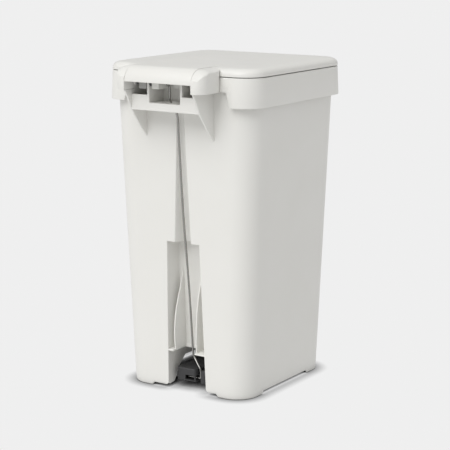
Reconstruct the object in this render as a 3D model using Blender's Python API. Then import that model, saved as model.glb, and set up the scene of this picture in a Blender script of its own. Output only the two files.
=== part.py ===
"""Pedal bin: a moulded bucket on a hidden lever, with a hinged lid that a wire push rod lifts.

The frame stands on the floor at z = 0. The pedal faces -Y, the hinge and push rod face +Y.
Every piece is built in bin coordinates, whose origin is the floor under the middle of the rim,
and hangs from the empty "bin_frame", which sets the origin under the middle of the whole bin.
"""

import math

import bmesh
import bpy
from mathutils import Matrix, Vector

# ---- driving dimensions, in metres --------------------------------------------------------
REAR_REACH = 0.2262          # rim middle to the back of the hinge covers
FRONT_REACH = 0.1762         # rim middle to the tip of the pedal
RIM_Y = -(REAR_REACH - FRONT_REACH) / 2

# Bucket: (height, width, depth, corner radius, middle y) at the foot and under the rim band.
FOOT = (0.0056, 0.2686, 0.2940, 0.0439, -0.0022)
NECK = (0.5465, 0.3138, 0.3166, 0.0456, -0.0004)
BUCKET_TOP = 0.5970
WALL = 0.0030
FLOOR_LOW = 0.0745           # underside of the bucket's inner floor
FLOOR_TOP = FLOOR_LOW + WALL
SKIRT_EDGE = 0.0056          # the lower edge between the corner feet
FOOT_SPAN = (0.072, 0.082)   # where the corner feet begin, along x and along y
CORNER_STEPS = 6

# Rim band, lid and liner outlines share the band's loop.
BAND_LOW = (0.5465, 0.3328, 0.3367, 0.0434, 0.0)
BAND_TOP = (0.6000, 0.3292, 0.3320, 0.0424, 0.0)
BAND_WALL = 0.0025
LIP_INSET = 0.0180
LIP_LOW = 0.580
BAND_NOTCH = ((0.116, 0.5465), (0.108, 0.5740))   # half width and height of the rear notch
LID_GAP = 0.0016
LID_SKIN = 0.0022

# Hinge.
AXIS_Y = 0.1960
AXIS_Z = 0.5870
FLAP_R = 0.0300
AXLE_R = 0.0020
RUN = 0.0003                 # gap between touching pieces
BORE_R = AXLE_R + RUN
COVER_IN = 0.0726            # inner and outer faces of the hinge covers
COVER_OUT = 0.0967
COVER_LOW = 0.5735
COVER_FRONT_R = 0.0440       # the covers' front is an arc about the hinge axis
COVER_CORNER = 0.0200

# Handle frame moulded on the back of the bucket.
GUSSET_X = (0.0724, 0.0763)
RIB_X = (0.0337, 0.0383)
PANEL_Y = (0.1995, 0.2027)
PANEL_LOW = 0.5360
PANEL_TOP = 0.5645
SHELF = (0.5475, 0.5505)
RIB_TOP = 0.5960

# Rod channel in the back of the bucket: ends of its floor lines, as (y, z).
CHANNEL_TOP = (0.1558, 0.5300)
CHANNEL_LOW = (0.1285, 0.2870)
RECESS_TOP = 0.2870
RECESS_HIGH = (0.1140, RECESS_TOP)
RECESS_LOW = (0.1040, FLOOR_LOW)
RECESS_LEFT = (0.0330, 0.0368)      # x at the recess's top and foot, on the +X side
RECESS_RIGHT = (-0.0385, -0.0485)   # and on the -X side
FIN_X = 0.0240
FIN_HALF = 0.0012
FIN_TOP = 0.2380
FIN_LEFT_EDGE = [(0.1385, 0.0751), (0.1415, 0.092), (0.1420, 0.118), (0.1385, 0.146),
                 (0.1318, 0.170), (0.1210, 0.201)]
FIN_RIGHT_EDGE = [(0.1385, 0.0751), (0.1408, 0.092), (0.1400, 0.118), (0.1380, 0.146),
                  (0.1352, 0.170), (0.1275, 0.201), (0.1190, 0.222)]
TUNNEL_WALL = [(0.1440, SKIRT_EDGE), (0.1440, 0.0755), (0.0760, 0.0755), (0.0818, 0.0589),
               (0.1089, 0.0349), (0.1175, 0.0182), (0.1250, 0.0090)]

# Linkage.
ROD_R = 0.0020
CRANK_PIN = (0.1740, 0.5825)        # y, z of the rod's upper end
ROD_TOP_X = 0.0087
ROD_FOOT = (0.1225, 0.0235)         # y, z of the rod's lower bar
ROD_FOOT_X = -0.0225
PIVOT_Y = -0.0445
PIVOT_Z = 0.0300
PEDAL_AXLE_R = 0.0030
BEARING_SCREWS = [           # name, x, y
    (f"bearing_screw_{side}_{end}", sx * 0.0365, PIVOT_Y + sy * 0.0140)
    for side, sx in (("left", 1), ("right", -1)) for end, sy in (("rear", 1), ("front", -1))
]

# Crank and damper, on the hinge axis.
CRANK_TOP = AXIS_Z + FLAP_R - LID_SKIN - RUN
CRANK_SCREW_X = 0.0055
CRANK_SCREWS = [("crank_screw_rear", 0.1950), ("crank_screw_front", 0.1872)]     # name, y
ROTOR_R = 0.0046
DAMPER_SCREW_Y = 0.1765
DAMPER_SCREWS = [("damper_screw_top", 0.5910), ("damper_screw_low", 0.5810)]     # name, z

# Rubber pads under the corners.
PAD_R = 0.0100
PAD_TOP = 0.0030
PAD_PLACES = [               # name, x, y
    (f"foot_pad_{end}_{side}", sx * 0.1080, FOOT[4] + sy * 0.1200)
    for end, sy in (("rear", 1), ("front", -1)) for side, sx in (("left", 1), ("right", -1))
]

PIECE_COLOURS = {
    "pp": ((0.80, 0.80, 0.77), 0.42, 0.0),
    "pp_inner": ((0.74, 0.74, 0.71), 0.5, 0.0),
    "nylon_black": ((0.03, 0.03, 0.032), 0.5, 0.0),
    "pom_white": ((0.86, 0.86, 0.84), 0.35, 0.0),
    "pom_grey": ((0.40, 0.40, 0.39), 0.4, 0.0),
    "rubber": ((0.05, 0.05, 0.05), 0.8, 0.0),
    "steel": ((0.62, 0.62, 0.60), 0.25, 1.0),
    "zinc": ((0.55, 0.55, 0.53), 0.4, 1.0),
}


# ---- small modelling helpers ---------------------------------------------------------------
def blend(low, high, z):
    """The outline (width, depth, radius, middle y) at height z, on a straight taper."""
    t = (z - low[0]) / (high[0] - low[0])
    return tuple(a + (b - a) * t for a, b in zip(low[1:], high[1:]))


def bucket_outline(z):
    return blend(FOOT, NECK, z)


def band_outline(z):
    return blend(BAND_LOW, BAND_TOP, z)


def rounded_loop(outline, z, inset=0.0, steps=CORNER_STEPS):
    """Points of a rounded rectangle at height z, anticlockwise seen from above."""
    width, depth, radius, middle = outline
    half_x = width / 2 - inset
    half_y = depth / 2 - inset
    r = max(radius - inset, 0.002)
    points = []
    for corner, (sx, sy) in enumerate(((1, 1), (-1, 1), (-1, -1), (1, -1))):
        for step in range(steps + 1):
            a = math.radians(90 * (corner + step / steps))
            x = sx * (half_x - r) + r * math.cos(a)
            y = sy * (half_y - r) + r * math.sin(a) + middle
            points.append(Vector((x, y, z)))
    return points


def mesh_object(name, points, faces):
    mesh = bpy.data.meshes.new(name)
    mesh.from_pydata([tuple(p) for p in points], [], faces)
    work = bmesh.new()
    work.from_mesh(mesh)
    bmesh.ops.recalc_face_normals(work, faces=work.faces)
    work.to_mesh(mesh)
    work.free()
    piece = bpy.data.objects.new(name, mesh)
    bpy.context.collection.objects.link(piece)
    piece.parent = bin_frame
    return piece


def stack(name, loops, closed=False):
    """A skin over loops of equal length: capped at both ends, or closed round on itself."""
    n = len(loops[0])
    points = [p for loop in loops for p in loop]
    pairs = [(i, i + 1) for i in range(len(loops) - 1)]
    if closed:
        pairs.append((len(loops) - 1, 0))
    faces = []
    for low, high in pairs:
        for k in range(n):
            m = (k + 1) % n
            faces.append((low * n + k, low * n + m, high * n + m, high * n + k))
    if not closed:
        faces.append(tuple(reversed(range(n))))
        faces.append(tuple(range((len(loops) - 1) * n, len(loops) * n)))
    return mesh_object(name, points, faces)


def prism(name, outline, axis, low, high):
    """A polygon pushed along an axis. Its points are (y, z), (x, z) or (x, y), in that order."""
    def place(p, along):
        a, b = p
        return {"x": (along, a, b), "y": (a, along, b), "z": (a, b, along)}[axis]
    return stack(name, [[place(p, low) for p in outline], [place(p, high) for p in outline]])


def box(name, x, y, z):
    outline = [(x[0], y[0]), (x[1], y[0]), (x[1], y[1]), (x[0], y[1])]
    return prism(name, outline, "z", z[0], z[1])


def round_outline(centre, radius, sides):
    return [
        (centre[0] + radius * math.cos(math.tau * k / sides),
         centre[1] + radius * math.sin(math.tau * k / sides))
        for k in range(sides)
    ]


def disc(name, axis, centre, radius, low, high, sides=20):
    return prism(name, round_outline(centre, radius, sides), axis, low, high)


def washer(name, centre, inner, outer, low, high, sides=20):
    """A flat ring about an axis along x."""
    loops = []
    for radius, x in ((inner, low), (outer, low), (outer, high), (inner, high)):
        loops.append([(x, y, z) for y, z in round_outline(centre, radius, sides)])
    return stack(name, loops, closed=True)


def arc(centre, radius, start, end, steps):
    """Points on an arc, angles in degrees."""
    return [
        (centre[0] + radius * math.cos(math.radians(start + (end - start) * k / steps)),
         centre[1] + radius * math.sin(math.radians(start + (end - start) * k / steps)))
        for k in range(steps + 1)
    ]


def boolean(target, other, operation):
    other.hide_render = True
    other.display_type = "WIRE"
    step = target.modifiers.new(other.name, "BOOLEAN")
    step.operation = operation
    step.solver = "EXACT"
    step.object = other


def cut(target, *cutters):
    for cutter in cutters:
        boolean(target, cutter, "DIFFERENCE")


def add(target, *others):
    for other in others:
        boolean(target, other, "UNION")


def hang(piece, pivot):
    """Moves a piece's origin to its pivot, an empty in bin coordinates, leaving its place."""
    for one in [piece] + [m.object for m in piece.modifiers if m.type == "BOOLEAN"]:
        if one.parent is not pivot:
            one.data.transform(Matrix.Translation(-pivot.location))
            one.parent = pivot


def piece_material(name, colour):
    base, roughness, metallic = PIECE_COLOURS[colour]
    material = bpy.data.materials.new(name)
    material.use_nodes = True
    shader = material.node_tree.nodes["Principled BSDF"]
    shader.inputs["Base Color"].default_value = (*base, 1.0)
    shader.inputs["Roughness"].default_value = roughness
    shader.inputs["Metallic"].default_value = metallic
    return material


def finish(piece, colour):
    """Material and smooth shading for a finished piece."""
    piece.data.materials.append(piece_material(piece.name, colour))
    piece.data.shade_smooth()
    piece.data.set_sharp_from_angle(angle=math.radians(35))
    return piece


def empty(name, location):
    marker = bpy.data.objects.new(name, None)
    bpy.context.collection.objects.link(marker)
    marker.location = location
    return marker


# ---- the bucket -----------------------------------------------------------------------------
def floor_line(low, high, z):
    """How far back a floor lies at height z, on the line between two (y, z) points."""
    return low[0] + (high[0] - low[0]) * (z - low[1]) / (high[1] - low[1])


def channel_half(z):
    """Half the channel's width at the bucket's back."""
    return 0.0075 + 0.0105 * (CHANNEL_TOP[1] - z) / (CHANNEL_TOP[1] - RECESS_TOP)


def channel_solid(name, grow, low, high, back):
    """The narrow upper channel as a tapered trough, grown on its sides and floor."""
    loops = []
    for z in (low, high):
        middle = -0.0025
        half = channel_half(z)
        floor = floor_line(CHANNEL_LOW, CHANNEL_TOP, z) - grow
        loops.append([
            (middle - 0.55 * half - grow, floor, z), (middle + 0.55 * half + grow, floor, z),
            (middle + half + grow, back, z), (middle - half - grow, back, z),
        ])
    return stack(name, loops)


def recess_solid(name, grow, low, high, back):
    """The wide lower recess, grown on its sides and floor."""
    loops = []
    for z in (low, high):
        t = (z - SKIRT_EDGE) / (RECESS_TOP - SKIRT_EDGE)
        left = RECESS_LEFT[1] + (RECESS_LEFT[0] - RECESS_LEFT[1]) * t + grow
        right = RECESS_RIGHT[1] + (RECESS_RIGHT[0] - RECESS_RIGHT[1]) * t - grow
        floor = floor_line(RECESS_LOW, RECESS_HIGH, z) - grow
        loops.append([(right, floor, z), (left, floor, z), (left, back, z), (right, back, z)])
    return stack(name, loops)


def fin(name, x, edge):
    """A guide fin beside the rod, from the recess floor back to a bowed edge."""
    root = [(floor_line(RECESS_LOW, RECESS_HIGH, z) - 0.0015, z) for z in (FIN_TOP, edge[0][1])]
    return prism(name, edge + root, "x", x - FIN_HALF, x + FIN_HALF)


def bucket_shell():
    """Outer wall, open cavity, floor and the hollow under it."""
    def wall(name, low, high, inset):
        loops = [rounded_loop(bucket_outline(z), z, inset) for z in (low, high)]
        return stack(name, loops)

    toe = [rounded_loop(bucket_outline(0.0), 0.0008, 0.0030),
           rounded_loop(bucket_outline(0.0), 0.0030, 0.0008),
           rounded_loop(bucket_outline(0.0075), 0.0075),
           rounded_loop(bucket_outline(BUCKET_TOP), BUCKET_TOP)]
    body = stack("bucket_body", toe)
    cavity = wall("bucket_cavity", FLOOR_TOP, BUCKET_TOP + 0.01, WALL)
    hollow = wall("bucket_hollow", -0.01, FLOOR_LOW, WALL)
    cut(body, cavity, hollow)
    return body


def bucket_back(body):
    """The rod channel, the recess with its fins and ledges, and the tunnel out of the base."""
    outer_back = 0.20
    trim = stack("channel_trim", [
        rounded_loop(bucket_outline(z), z, 0.0008) for z in (FLOOR_LOW + 0.0002, 0.560)])
    upper = channel_solid("channel_wall", WALL, RECESS_TOP - 0.002, 0.5400, outer_back)
    lower = recess_solid("recess_wall", WALL, FLOOR_LOW + 0.0005, RECESS_TOP + WALL, outer_back)
    boolean(upper, trim, "INTERSECT")
    boolean(lower, trim, "INTERSECT")
    add(body, upper, lower)
    cut(body,
        channel_solid("channel_cut", 0.0, RECESS_TOP - 0.01, CHANNEL_TOP[1], outer_back),
        recess_solid("recess_cut", 0.0, FLOOR_TOP, RECESS_TOP, outer_back))
    slot = box("rod_slot", (-FIN_X, FIN_X),
               (RECESS_LOW[0] + 0.0014, outer_back), (FLOOR_LOW - 0.004, FLOOR_TOP + 0.004))
    tunnel = recess_solid("tunnel_cut", 0.0, -0.01, FLOOR_LOW, outer_back)
    cut(body, slot, tunnel)
    for side, x in (("left", RECESS_LEFT[1] + 0.0013), ("right", RECESS_RIGHT[1] - 0.0013)):
        add(body, prism(f"tunnel_wall_{side}", TUNNEL_WALL, "x", x - FIN_HALF, x + FIN_HALF))
    add(body, fin("fin_left", FIN_X, FIN_LEFT_EDGE), fin("fin_right", -FIN_X, FIN_RIGHT_EDGE))


def handle_frame(body):
    """Gussets, ribs, shelf and grip panel behind the rim, which carry the hinge axle."""
    inside = 0.1545
    gusset = [(inside, 0.4810), (0.1555, 0.4820), (0.1730, 0.5000), (0.1870, 0.5170),
              (0.2015, 0.5360), (0.2130, 0.5570), (0.2225, COVER_LOW - RUN),
              (inside, COVER_LOW - RUN)]
    rib = [(inside, SHELF[0] + 0.001), (PANEL_Y[1] - 0.0002, SHELF[0] + 0.001),
           (PANEL_Y[1] - 0.0002, RIB_TOP), (0.1705, RIB_TOP), (0.1705, COVER_LOW - RUN),
           (inside, COVER_LOW - RUN)]
    for side, sign in (("left", 1), ("right", -1)):
        low, high = sorted((sign * GUSSET_X[0], sign * GUSSET_X[1]))
        add(body, prism(f"gusset_{side}", gusset, "x", low, high))
    span = GUSSET_X[0] + 0.001
    middle = RIB_X[0] + 0.001
    panel = [(-span, PANEL_LOW), (span, PANEL_LOW), (span, PANEL_TOP), (middle, PANEL_TOP),
             (middle, SHELF[1]), (-middle, SHELF[1]), (-middle, PANEL_TOP), (-span, PANEL_TOP)]
    add(body,
        prism("grip_panel", panel, "y", PANEL_Y[0], PANEL_Y[1]),
        box("grip_bead", (-span, span), (PANEL_Y[0] - 0.0030, PANEL_Y[1] - 0.0004),
            (PANEL_LOW + 0.0003, PANEL_LOW + 0.0045)),
        box("shelf", (-span, span), (inside, PANEL_Y[0] + 0.001), SHELF))
    rib_left = prism("rib_left", rib, "x", RIB_X[0], RIB_X[1])
    rib_right = prism("rib_right", rib, "x", -RIB_X[1], -RIB_X[0])
    cut(rib_left, disc("rotor_bore", "x", (AXIS_Y, AXIS_Z), ROTOR_R + RUN, 0.030, 0.042))
    cut(rib_right, disc("axle_bore", "x", (AXIS_Y, AXIS_Z), BORE_R, -0.042, -0.030, 16))
    for name, z in DAMPER_SCREWS:
        cut(rib_left, disc(f"{name}_hole", "x", (DAMPER_SCREW_Y, z), 0.0017, 0.0348, 0.0400, 12))
    add(body, rib_left, rib_right)
    cut(body, box("rod_hole", (-0.0042, ROD_TOP_X + 0.0045), (0.1620, 0.1930),
                  (SHELF[0] - 0.004, SHELF[1] + 0.004)))


def base_features(body):
    """Corner feet, the pedal's arch, pad bosses and the holes for the bearing screws."""
    reach = 0.20
    cut(body,
        box("skirt_gap_x", (-FOOT_SPAN[0], FOOT_SPAN[0]), (-reach, reach), (-0.01, SKIRT_EDGE)),
        box("skirt_gap_y", (-reach, reach), (-FOOT_SPAN[1], FOOT_SPAN[1] - 0.004),
            (-0.01, SKIRT_EDGE)),
        prism("pedal_arch", [(-0.054, -0.01), (0.054, -0.01), (0.054, 0.044), (0.046, 0.054),
                             (-0.046, 0.054), (-0.054, 0.044)], "y", -0.17, -0.13))
    for name, x, y in PAD_PLACES:
        add(body, disc(f"{name}_boss", "z", (x, y), PAD_R + 0.0015, PAD_TOP + RUN,
                       FLOOR_LOW + 0.001, 16))
    for name, x, y in BEARING_SCREWS:
        cut(body, disc(f"{name}_hole", "z", (x, y), 0.0019, FLOOR_LOW - 0.002,
                       FLOOR_LOW + 0.0024, 12))


def make_bucket():
    body = bucket_shell()
    base_features(body)
    bucket_back(body)
    handle_frame(body)
    return finish(body, "pp")


# ---- rim band, bag ring, hinge covers --------------------------------------------------------
def make_band():
    profile = ((0.0, BAND_LOW[0]), (0.0, BAND_TOP[0] - 0.0012), (0.0012, BAND_TOP[0]),
               (LIP_INSET, BAND_TOP[0]), (LIP_INSET, LIP_LOW), (LIP_INSET - 0.002, LIP_LOW),
               (LIP_INSET - 0.002, BAND_TOP[0] - 0.0024),
               (BAND_WALL, BAND_TOP[0] - 0.0024), (BAND_WALL, BAND_LOW[0]))
    loops = [rounded_loop(band_outline(z), z, inset) for inset, z in profile]
    band = stack("rim_band", loops, closed=True)
    (wide, low), (narrow, high) = BAND_NOTCH
    notch = [(-wide, low - 0.01), (wide, low - 0.01), (wide, low), (narrow, high),
             (-narrow, high), (-wide, low)]
    cut(band, prism("band_notch", notch, "y", 0.1600, 0.1750))
    return finish(band, "pp")


def make_bag_ring():
    outline = band_outline(0.585)
    outer, inner = LIP_INSET + 2 * RUN, LIP_INSET + 2 * RUN + 0.0022
    profile = ((outer, 0.5700), (outer, 0.5895), (inner, 0.5895), (inner, 0.5700))
    loops = [rounded_loop(outline, z, inset) for inset, z in profile]
    return finish(stack("bag_ring", loops, closed=True), "pp_inner")


def make_hinge_cover(side, sign):
    top = [(0.2262, 0.6000), (0.2250, 0.6035), (0.2225, 0.6060), (0.2130, 0.6092),
           (0.1980, 0.6134), (0.1850, 0.6154), (0.1720, 0.6166)]
    angle_top = 180 - math.degrees(math.asin((0.6168 - AXIS_Z) / COVER_FRONT_R))
    angle_low = 180 - math.degrees(math.asin((BAND_TOP[0] + 2 * RUN - AXIS_Z) / COVER_FRONT_R))
    front = arc((AXIS_Y, AXIS_Z), COVER_FRONT_R, angle_top, angle_low, 5)
    neck = 0.1682
    profile = [(neck, COVER_LOW), (0.2262, COVER_LOW)] + top + front
    profile.append((neck, BAND_TOP[0] + 2 * RUN))
    low, high = sorted((sign * COVER_IN, sign * COVER_OUT))
    cover = prism(f"hinge_cover_{side}", profile, "x", low, high)
    corner_x = COVER_OUT - COVER_CORNER
    corner = arc((corner_x, 0.2262 - COVER_CORNER), COVER_CORNER, 0, 90, 8)
    plan = [(0.070, 0.140), (COVER_OUT + 0.001, 0.140), (COVER_OUT + 0.001, 0.200)]
    plan += [(x + 0.00005, y) for x, y in corner] + [(0.070, 0.2263)]
    plan = [(sign * x, y) for x, y in plan]
    boolean(cover, prism(f"cover_plan_{side}", plan, "z", 0.56, 0.63), "INTERSECT")
    hollow_back = 0.2140
    inner = [(neck + 0.0025, COVER_LOW - 0.01), (hollow_back, COVER_LOW - 0.01),
             (hollow_back, 0.5990), (0.1980, 0.6085), (neck + 0.0025, 0.6120)]
    low, high = sorted((sign * 0.0790, sign * 0.0910))
    cut(cover, prism(f"cover_hollow_{side}", inner, "x", low, high))
    low, high = sorted((sign * 0.070, sign * 0.0776))
    cut(cover, disc(f"cover_bore_{side}", "x", (AXIS_Y, AXIS_Z), BORE_R, low, high))
    return finish(cover, "pp")


# ---- lid --------------------------------------------------------------------------------------
def make_lid_shell():
    base = BAND_TOP[0] + LID_GAP
    skin = LID_SKIN
    outline = band_outline(BAND_TOP[0])
    shape = ((0.0000, 0.0), (0.0000, 0.0030), (0.0012, 0.0070), (0.0042, 0.0105),
             (0.0095, 0.0132), (0.0180, 0.0148), (0.0420, 0.0160), (0.0900, 0.0168))
    loops = [rounded_loop(outline, base + rise, inset) for inset, rise in shape]
    lid = stack("lid_shell", loops)
    under = [rounded_loop(outline, base - 0.01, skin), rounded_loop(outline, base + 0.0030, skin)]
    for inset, rise in shape[2:]:
        under.append(rounded_loop(outline, base + rise - skin * 0.9, inset + skin * 0.9))
    cut(lid, stack("lid_hollow", under))
    centre = (AXIS_Y, AXIS_Z)
    inner_r = FLAP_R - skin
    flap_start = 0.1250
    flap = [(flap_start, AXIS_Z + inner_r)] + arc(centre, inner_r, 90, 4, 8)
    flap += arc(centre, FLAP_R, 4, 90, 8) + [(flap_start, AXIS_Z + FLAP_R)]
    span = COVER_IN - 0.0005
    opening = box("flap_opening", (-span + 0.002, span - 0.002), (0.1530, 0.180),
                  (base - 0.01, AXIS_Z + inner_r - 0.0002))
    cut(lid, opening)
    reach = COVER_OUT + 0.0007
    brow_end = 0.1612
    brow = [(flap_start, AXIS_Z + inner_r), (brow_end, AXIS_Z + inner_r),
            (brow_end, AXIS_Z + FLAP_R - 0.0006), (flap_start, AXIS_Z + FLAP_R - 0.0006)]
    add(lid, prism("lid_brow", brow, "x", -reach, reach))
    add(lid, prism("lid_flap", flap, "x", -span, span))
    eye = arc(centre, 0.0065, 180, 360, 8)
    eye += [(AXIS_Y + 0.0120, AXIS_Z + 0.0100), (AXIS_Y + 0.0120, AXIS_Z + 0.0262),
            (AXIS_Y - 0.0200, AXIS_Z + inner_r + 0.001), (AXIS_Y - 0.0120, AXIS_Z + 0.0100)]
    for side, sign in (("left", 1), ("right", -1)):
        low, high = sorted((sign * 0.0655, sign * 0.0690))
        add(lid, prism(f"lid_eye_{side}", eye, "x", low, high))
        low, high = sorted((sign * 0.060, sign * 0.0715))
        cut(lid, disc(f"lid_eye_bore_{side}", "x", centre, BORE_R, low, high))
        low, high = sorted((sign * span, sign * reach))
        cut(lid, box(f"cover_gap_{side}", (low, high), (brow_end, 0.2400), (0.580, 0.640)),
            box(f"nose_gap_{side}", (low, high), (0.1530, 0.1800),
                (0.580, AXIS_Z + inner_r - 0.0002)))
    for name, y in CRANK_SCREWS:
        cut(lid, disc(f"{name}_hole", "z", (CRANK_SCREW_X, y), 0.0015, 0.6120, 0.6162, 12))
    hang(lid, lid_pivot)
    return finish(lid, "pp")


def make_lid_liner():
    """The flat inner panel, with a lip that drops into the rim band."""
    outline = band_outline(BAND_TOP[0])
    low = BAND_TOP[0] + LID_GAP + 0.0012
    plate = stack("lid_liner", [rounded_loop(outline, z, 0.0105) for z in (low, low + 0.002)])
    lip = stack("liner_lip", [
        rounded_loop(outline, z, inset) for inset, z in
        ((0.0200, low + 0.0005), (0.0200, 0.5935), (0.0222, 0.5935), (0.0222, low + 0.0005))],
        closed=True)
    add(plate, lip)
    trim = box("liner_trim", (-0.20, 0.20), (0.1500, 0.2000), (0.58, 0.63))
    cut(plate, trim)
    hang(plate, lid_pivot)
    return finish(plate, "pp_inner")


def make_crank():
    """The hub on the lid with an arm that the push rod lifts."""
    centre = (AXIS_Y, AXIS_Z)
    hub = [(0.2000, 0.5752), (0.2000, 0.6000), (0.1990, CRANK_TOP), (0.1830, CRANK_TOP),
           (0.1780, 0.5960), (0.1690, 0.5880), (0.1685, 0.5790), (0.1740, 0.5752)]
    crank = prism("lid_crank", hub, "x", 0.0145, 0.0300)
    flange = box("crank_flange", (0.0000, 0.0160), (0.1832, 0.1988), (CRANK_TOP - 0.0035, CRANK_TOP))
    relief = box("crank_relief", (0.0220, 0.0310), (0.1600, 0.1840), (0.5700, 0.6000))
    add(crank, flange)
    cut(crank, relief,
        disc("crank_bore", "x", centre, BORE_R, 0.010, 0.034),
        disc("crank_pin_hole", "x", CRANK_PIN, ROD_R + RUN, 0.010, 0.030))
    for name, y in CRANK_SCREWS:
        cut(crank, disc(f"{name}_clear", "z", (CRANK_SCREW_X, y), 0.0016, 0.600, 0.620, 12))
    hang(crank, lid_pivot)
    return finish(crank, "pom_white")


def make_damper():
    """The rotary soft-close damper on the left rib, and the sleeve that the lid turns in it."""
    centre = (AXIS_Y, AXIS_Z)
    housing = box("damper_housing", (0.0386, 0.0565), (0.1840, 0.2030), (0.5750, 0.5990))
    flange = box("damper_flange", (0.0386, 0.0412), (0.1715, 0.1900), (0.5770, 0.5950))
    add(housing, flange)
    cut(housing, disc("damper_bore", "x", centre, ROTOR_R + RUN, 0.030, 0.060))
    for name, z in DAMPER_SCREWS:
        cut(housing, disc(f"{name}_clear", "x", (DAMPER_SCREW_Y, z), 0.0018, 0.036, 0.043, 12))
    finish(housing, "pom_grey")
    rotor = washer("damper_rotor", centre, BORE_R, ROTOR_R, 0.0303, 0.0575)
    drive = washer("rotor_drive", centre, BORE_R, 0.0075, 0.0303, 0.0333)
    add(rotor, drive)
    hang(rotor, lid_pivot)
    finish(rotor, "nylon_black")


def make_bumpers():
    for side, x in (("left", 0.120), ("right", -0.120)):
        bumper = disc(f"lid_bumper_{side}", "z", (x, -0.1570), 0.0032, BAND_TOP[0] + RUN,
                      BAND_TOP[0] + LID_GAP + 0.0012 - RUN, 12)
        hang(bumper, lid_pivot)
        finish(bumper, "rubber")


# ---- rod, lever and pedal ----------------------------------------------------------------------
def rod_route():
    """The push rod's middle line, from its hook in the crank to its bar in the lever."""
    crank_y, crank_z = CRANK_PIN
    foot_y, foot_z = ROD_FOOT
    corners = [
        (0.0262, crank_y, crank_z), (ROD_TOP_X, crank_y, crank_z),
        (ROD_TOP_X, 0.1735, 0.5520), (0.0, 0.1622, 0.5290), (0.0, 0.1575, 0.4700),
        (0.0, 0.1510, 0.3960), (0.0, 0.1435, 0.3200), (0.0, 0.1330, 0.2420),
        (0.0, 0.1250, 0.1720), (0.0, 0.1170, 0.0860), (0.0, 0.1155, 0.0640),
        (ROD_FOOT_X, foot_y, 0.0390), (ROD_FOOT_X, foot_y, foot_z), (0.0320, foot_y, foot_z),
    ]
    bends = [0, 0.004, 0.010, 0.012, 0.05, 0.05, 0.05, 0.05, 0.05, 0.012, 0.009, 0.006, 0.004, 0]
    return bent_line([Vector(c) for c in corners], bends)


def bent_line(corners, bends, steps=4):
    """A line through corners, each rounded by a curve that starts its bend's length before it."""
    route = [corners[0]]
    for before, at, after, bend in zip(corners, corners[1:], corners[2:], bends[1:]):
        reach = min(bend, (at - before).length * 0.48, (after - at).length * 0.48)
        start = at + (before - at).normalized() * reach
        end = at + (after - at).normalized() * reach
        for k in range(steps + 1):
            t = k / steps
            route.append(start * (1 - t) ** 2 + at * 2 * t * (1 - t) + end * t ** 2)
    route.append(corners[-1])
    return route


def make_rod():
    line = bpy.data.curves.new("push_rod", "CURVE")
    line.dimensions = "3D"
    line.bevel_depth = ROD_R
    line.bevel_resolution = 2
    line.use_fill_caps = True
    route = rod_route()
    spline = line.splines.new("POLY")
    spline.points.add(len(route) - 1)
    for point, place in zip(spline.points, route):
        point.co = (*(place - rod_pivot.location), 1.0)
    rod = bpy.data.objects.new("push_rod", line)
    bpy.context.collection.objects.link(rod)
    rod.parent = rod_pivot
    line.materials.append(piece_material("push_rod", "steel"))
    for name, centre, x in (("rod_clip_top", CRANK_PIN, 0.0224), ("rod_clip_foot", ROD_FOOT, 0.0292)):
        clip = washer(name, centre, ROD_R + RUN, 0.0050, x, x + 0.0016, 16)
        hang(clip, rod_pivot)
        finish(clip, "zinc")


def make_lever():
    """One moulded lever, ribbed hollow below, from the pedal at the front to the rod's slot."""
    side = [(-0.1762, 0.0340), (-0.1745, 0.0305), (-0.1300, 0.0300), (-0.1000, 0.0220),
            (-0.0445, 0.0200), (0.0900, 0.0165), (0.1310, 0.0160), (0.1310, 0.0410),
            (0.0600, 0.0385), (-0.0445, 0.0420), (-0.1100, 0.0430), (-0.1350, 0.0440),
            (-0.1735, 0.0395), (-0.1762, 0.0375)]
    lever = prism("pedal_lever", side, "x", -0.0500, 0.0500)
    nose = arc((0.034, -0.1602), 0.016, 0, -90, 5)
    plan = [(0.0280, 0.1320), (0.0280, 0.0600), (0.0220, 0.0200), (0.0220, -0.1200),
            (0.0500, -0.1300)] + nose
    left = [(-x, y) for x, y in reversed(plan) if y <= 0.02]
    plan = plan + left + [(-0.0165, 0.0600), (-0.0165, 0.1320)]
    boolean(lever, prism("lever_plan", plan, "z", -0.01, 0.06), "INTERSECT")
    cheek = [(0.0560, 0.0175), (0.1310, 0.0160), (0.1310, 0.0405), (0.0560, 0.0380)]
    bridge = box("cheek_bridge", (-0.0300, -0.0150), (0.0570, 0.0960), (0.0180, 0.0290))
    add(lever, prism("lever_cheek", cheek, "x", -0.0380, -0.0275), bridge)
    rear_hollow = [(-0.0300, -0.0100), (0.1150, -0.0100), (0.1150, 0.0375), (0.0600, 0.0355),
                   (-0.0300, 0.0385)]
    foot_y, foot_z = ROD_FOOT
    cut(lever,
        prism("lever_hollow_rear", rear_hollow, "x", -0.0138, 0.0192),
        prism("lever_hollow_front", [(-0.1100, -0.01), (-0.0590, -0.01), (-0.0590, 0.0385),
              (-0.1100, 0.0395)], "x", -0.0192, 0.0192),
        box("bar_slot", (-0.0190, 0.0290), (foot_y - 0.0066, foot_y + 0.0056),
            (foot_z - 0.0046, foot_z + 0.0058)),
        box("bar_window", (-0.0105, 0.0120), (0.1260, 0.1400), (foot_z - 0.0052, foot_z + 0.0050)),
        disc("lever_bore", "x", (PIVOT_Y, PIVOT_Z), PEDAL_AXLE_R + RUN, -0.06, 0.06))
    hang(lever, pedal_pivot)
    finish(lever, "nylon_black")


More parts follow.
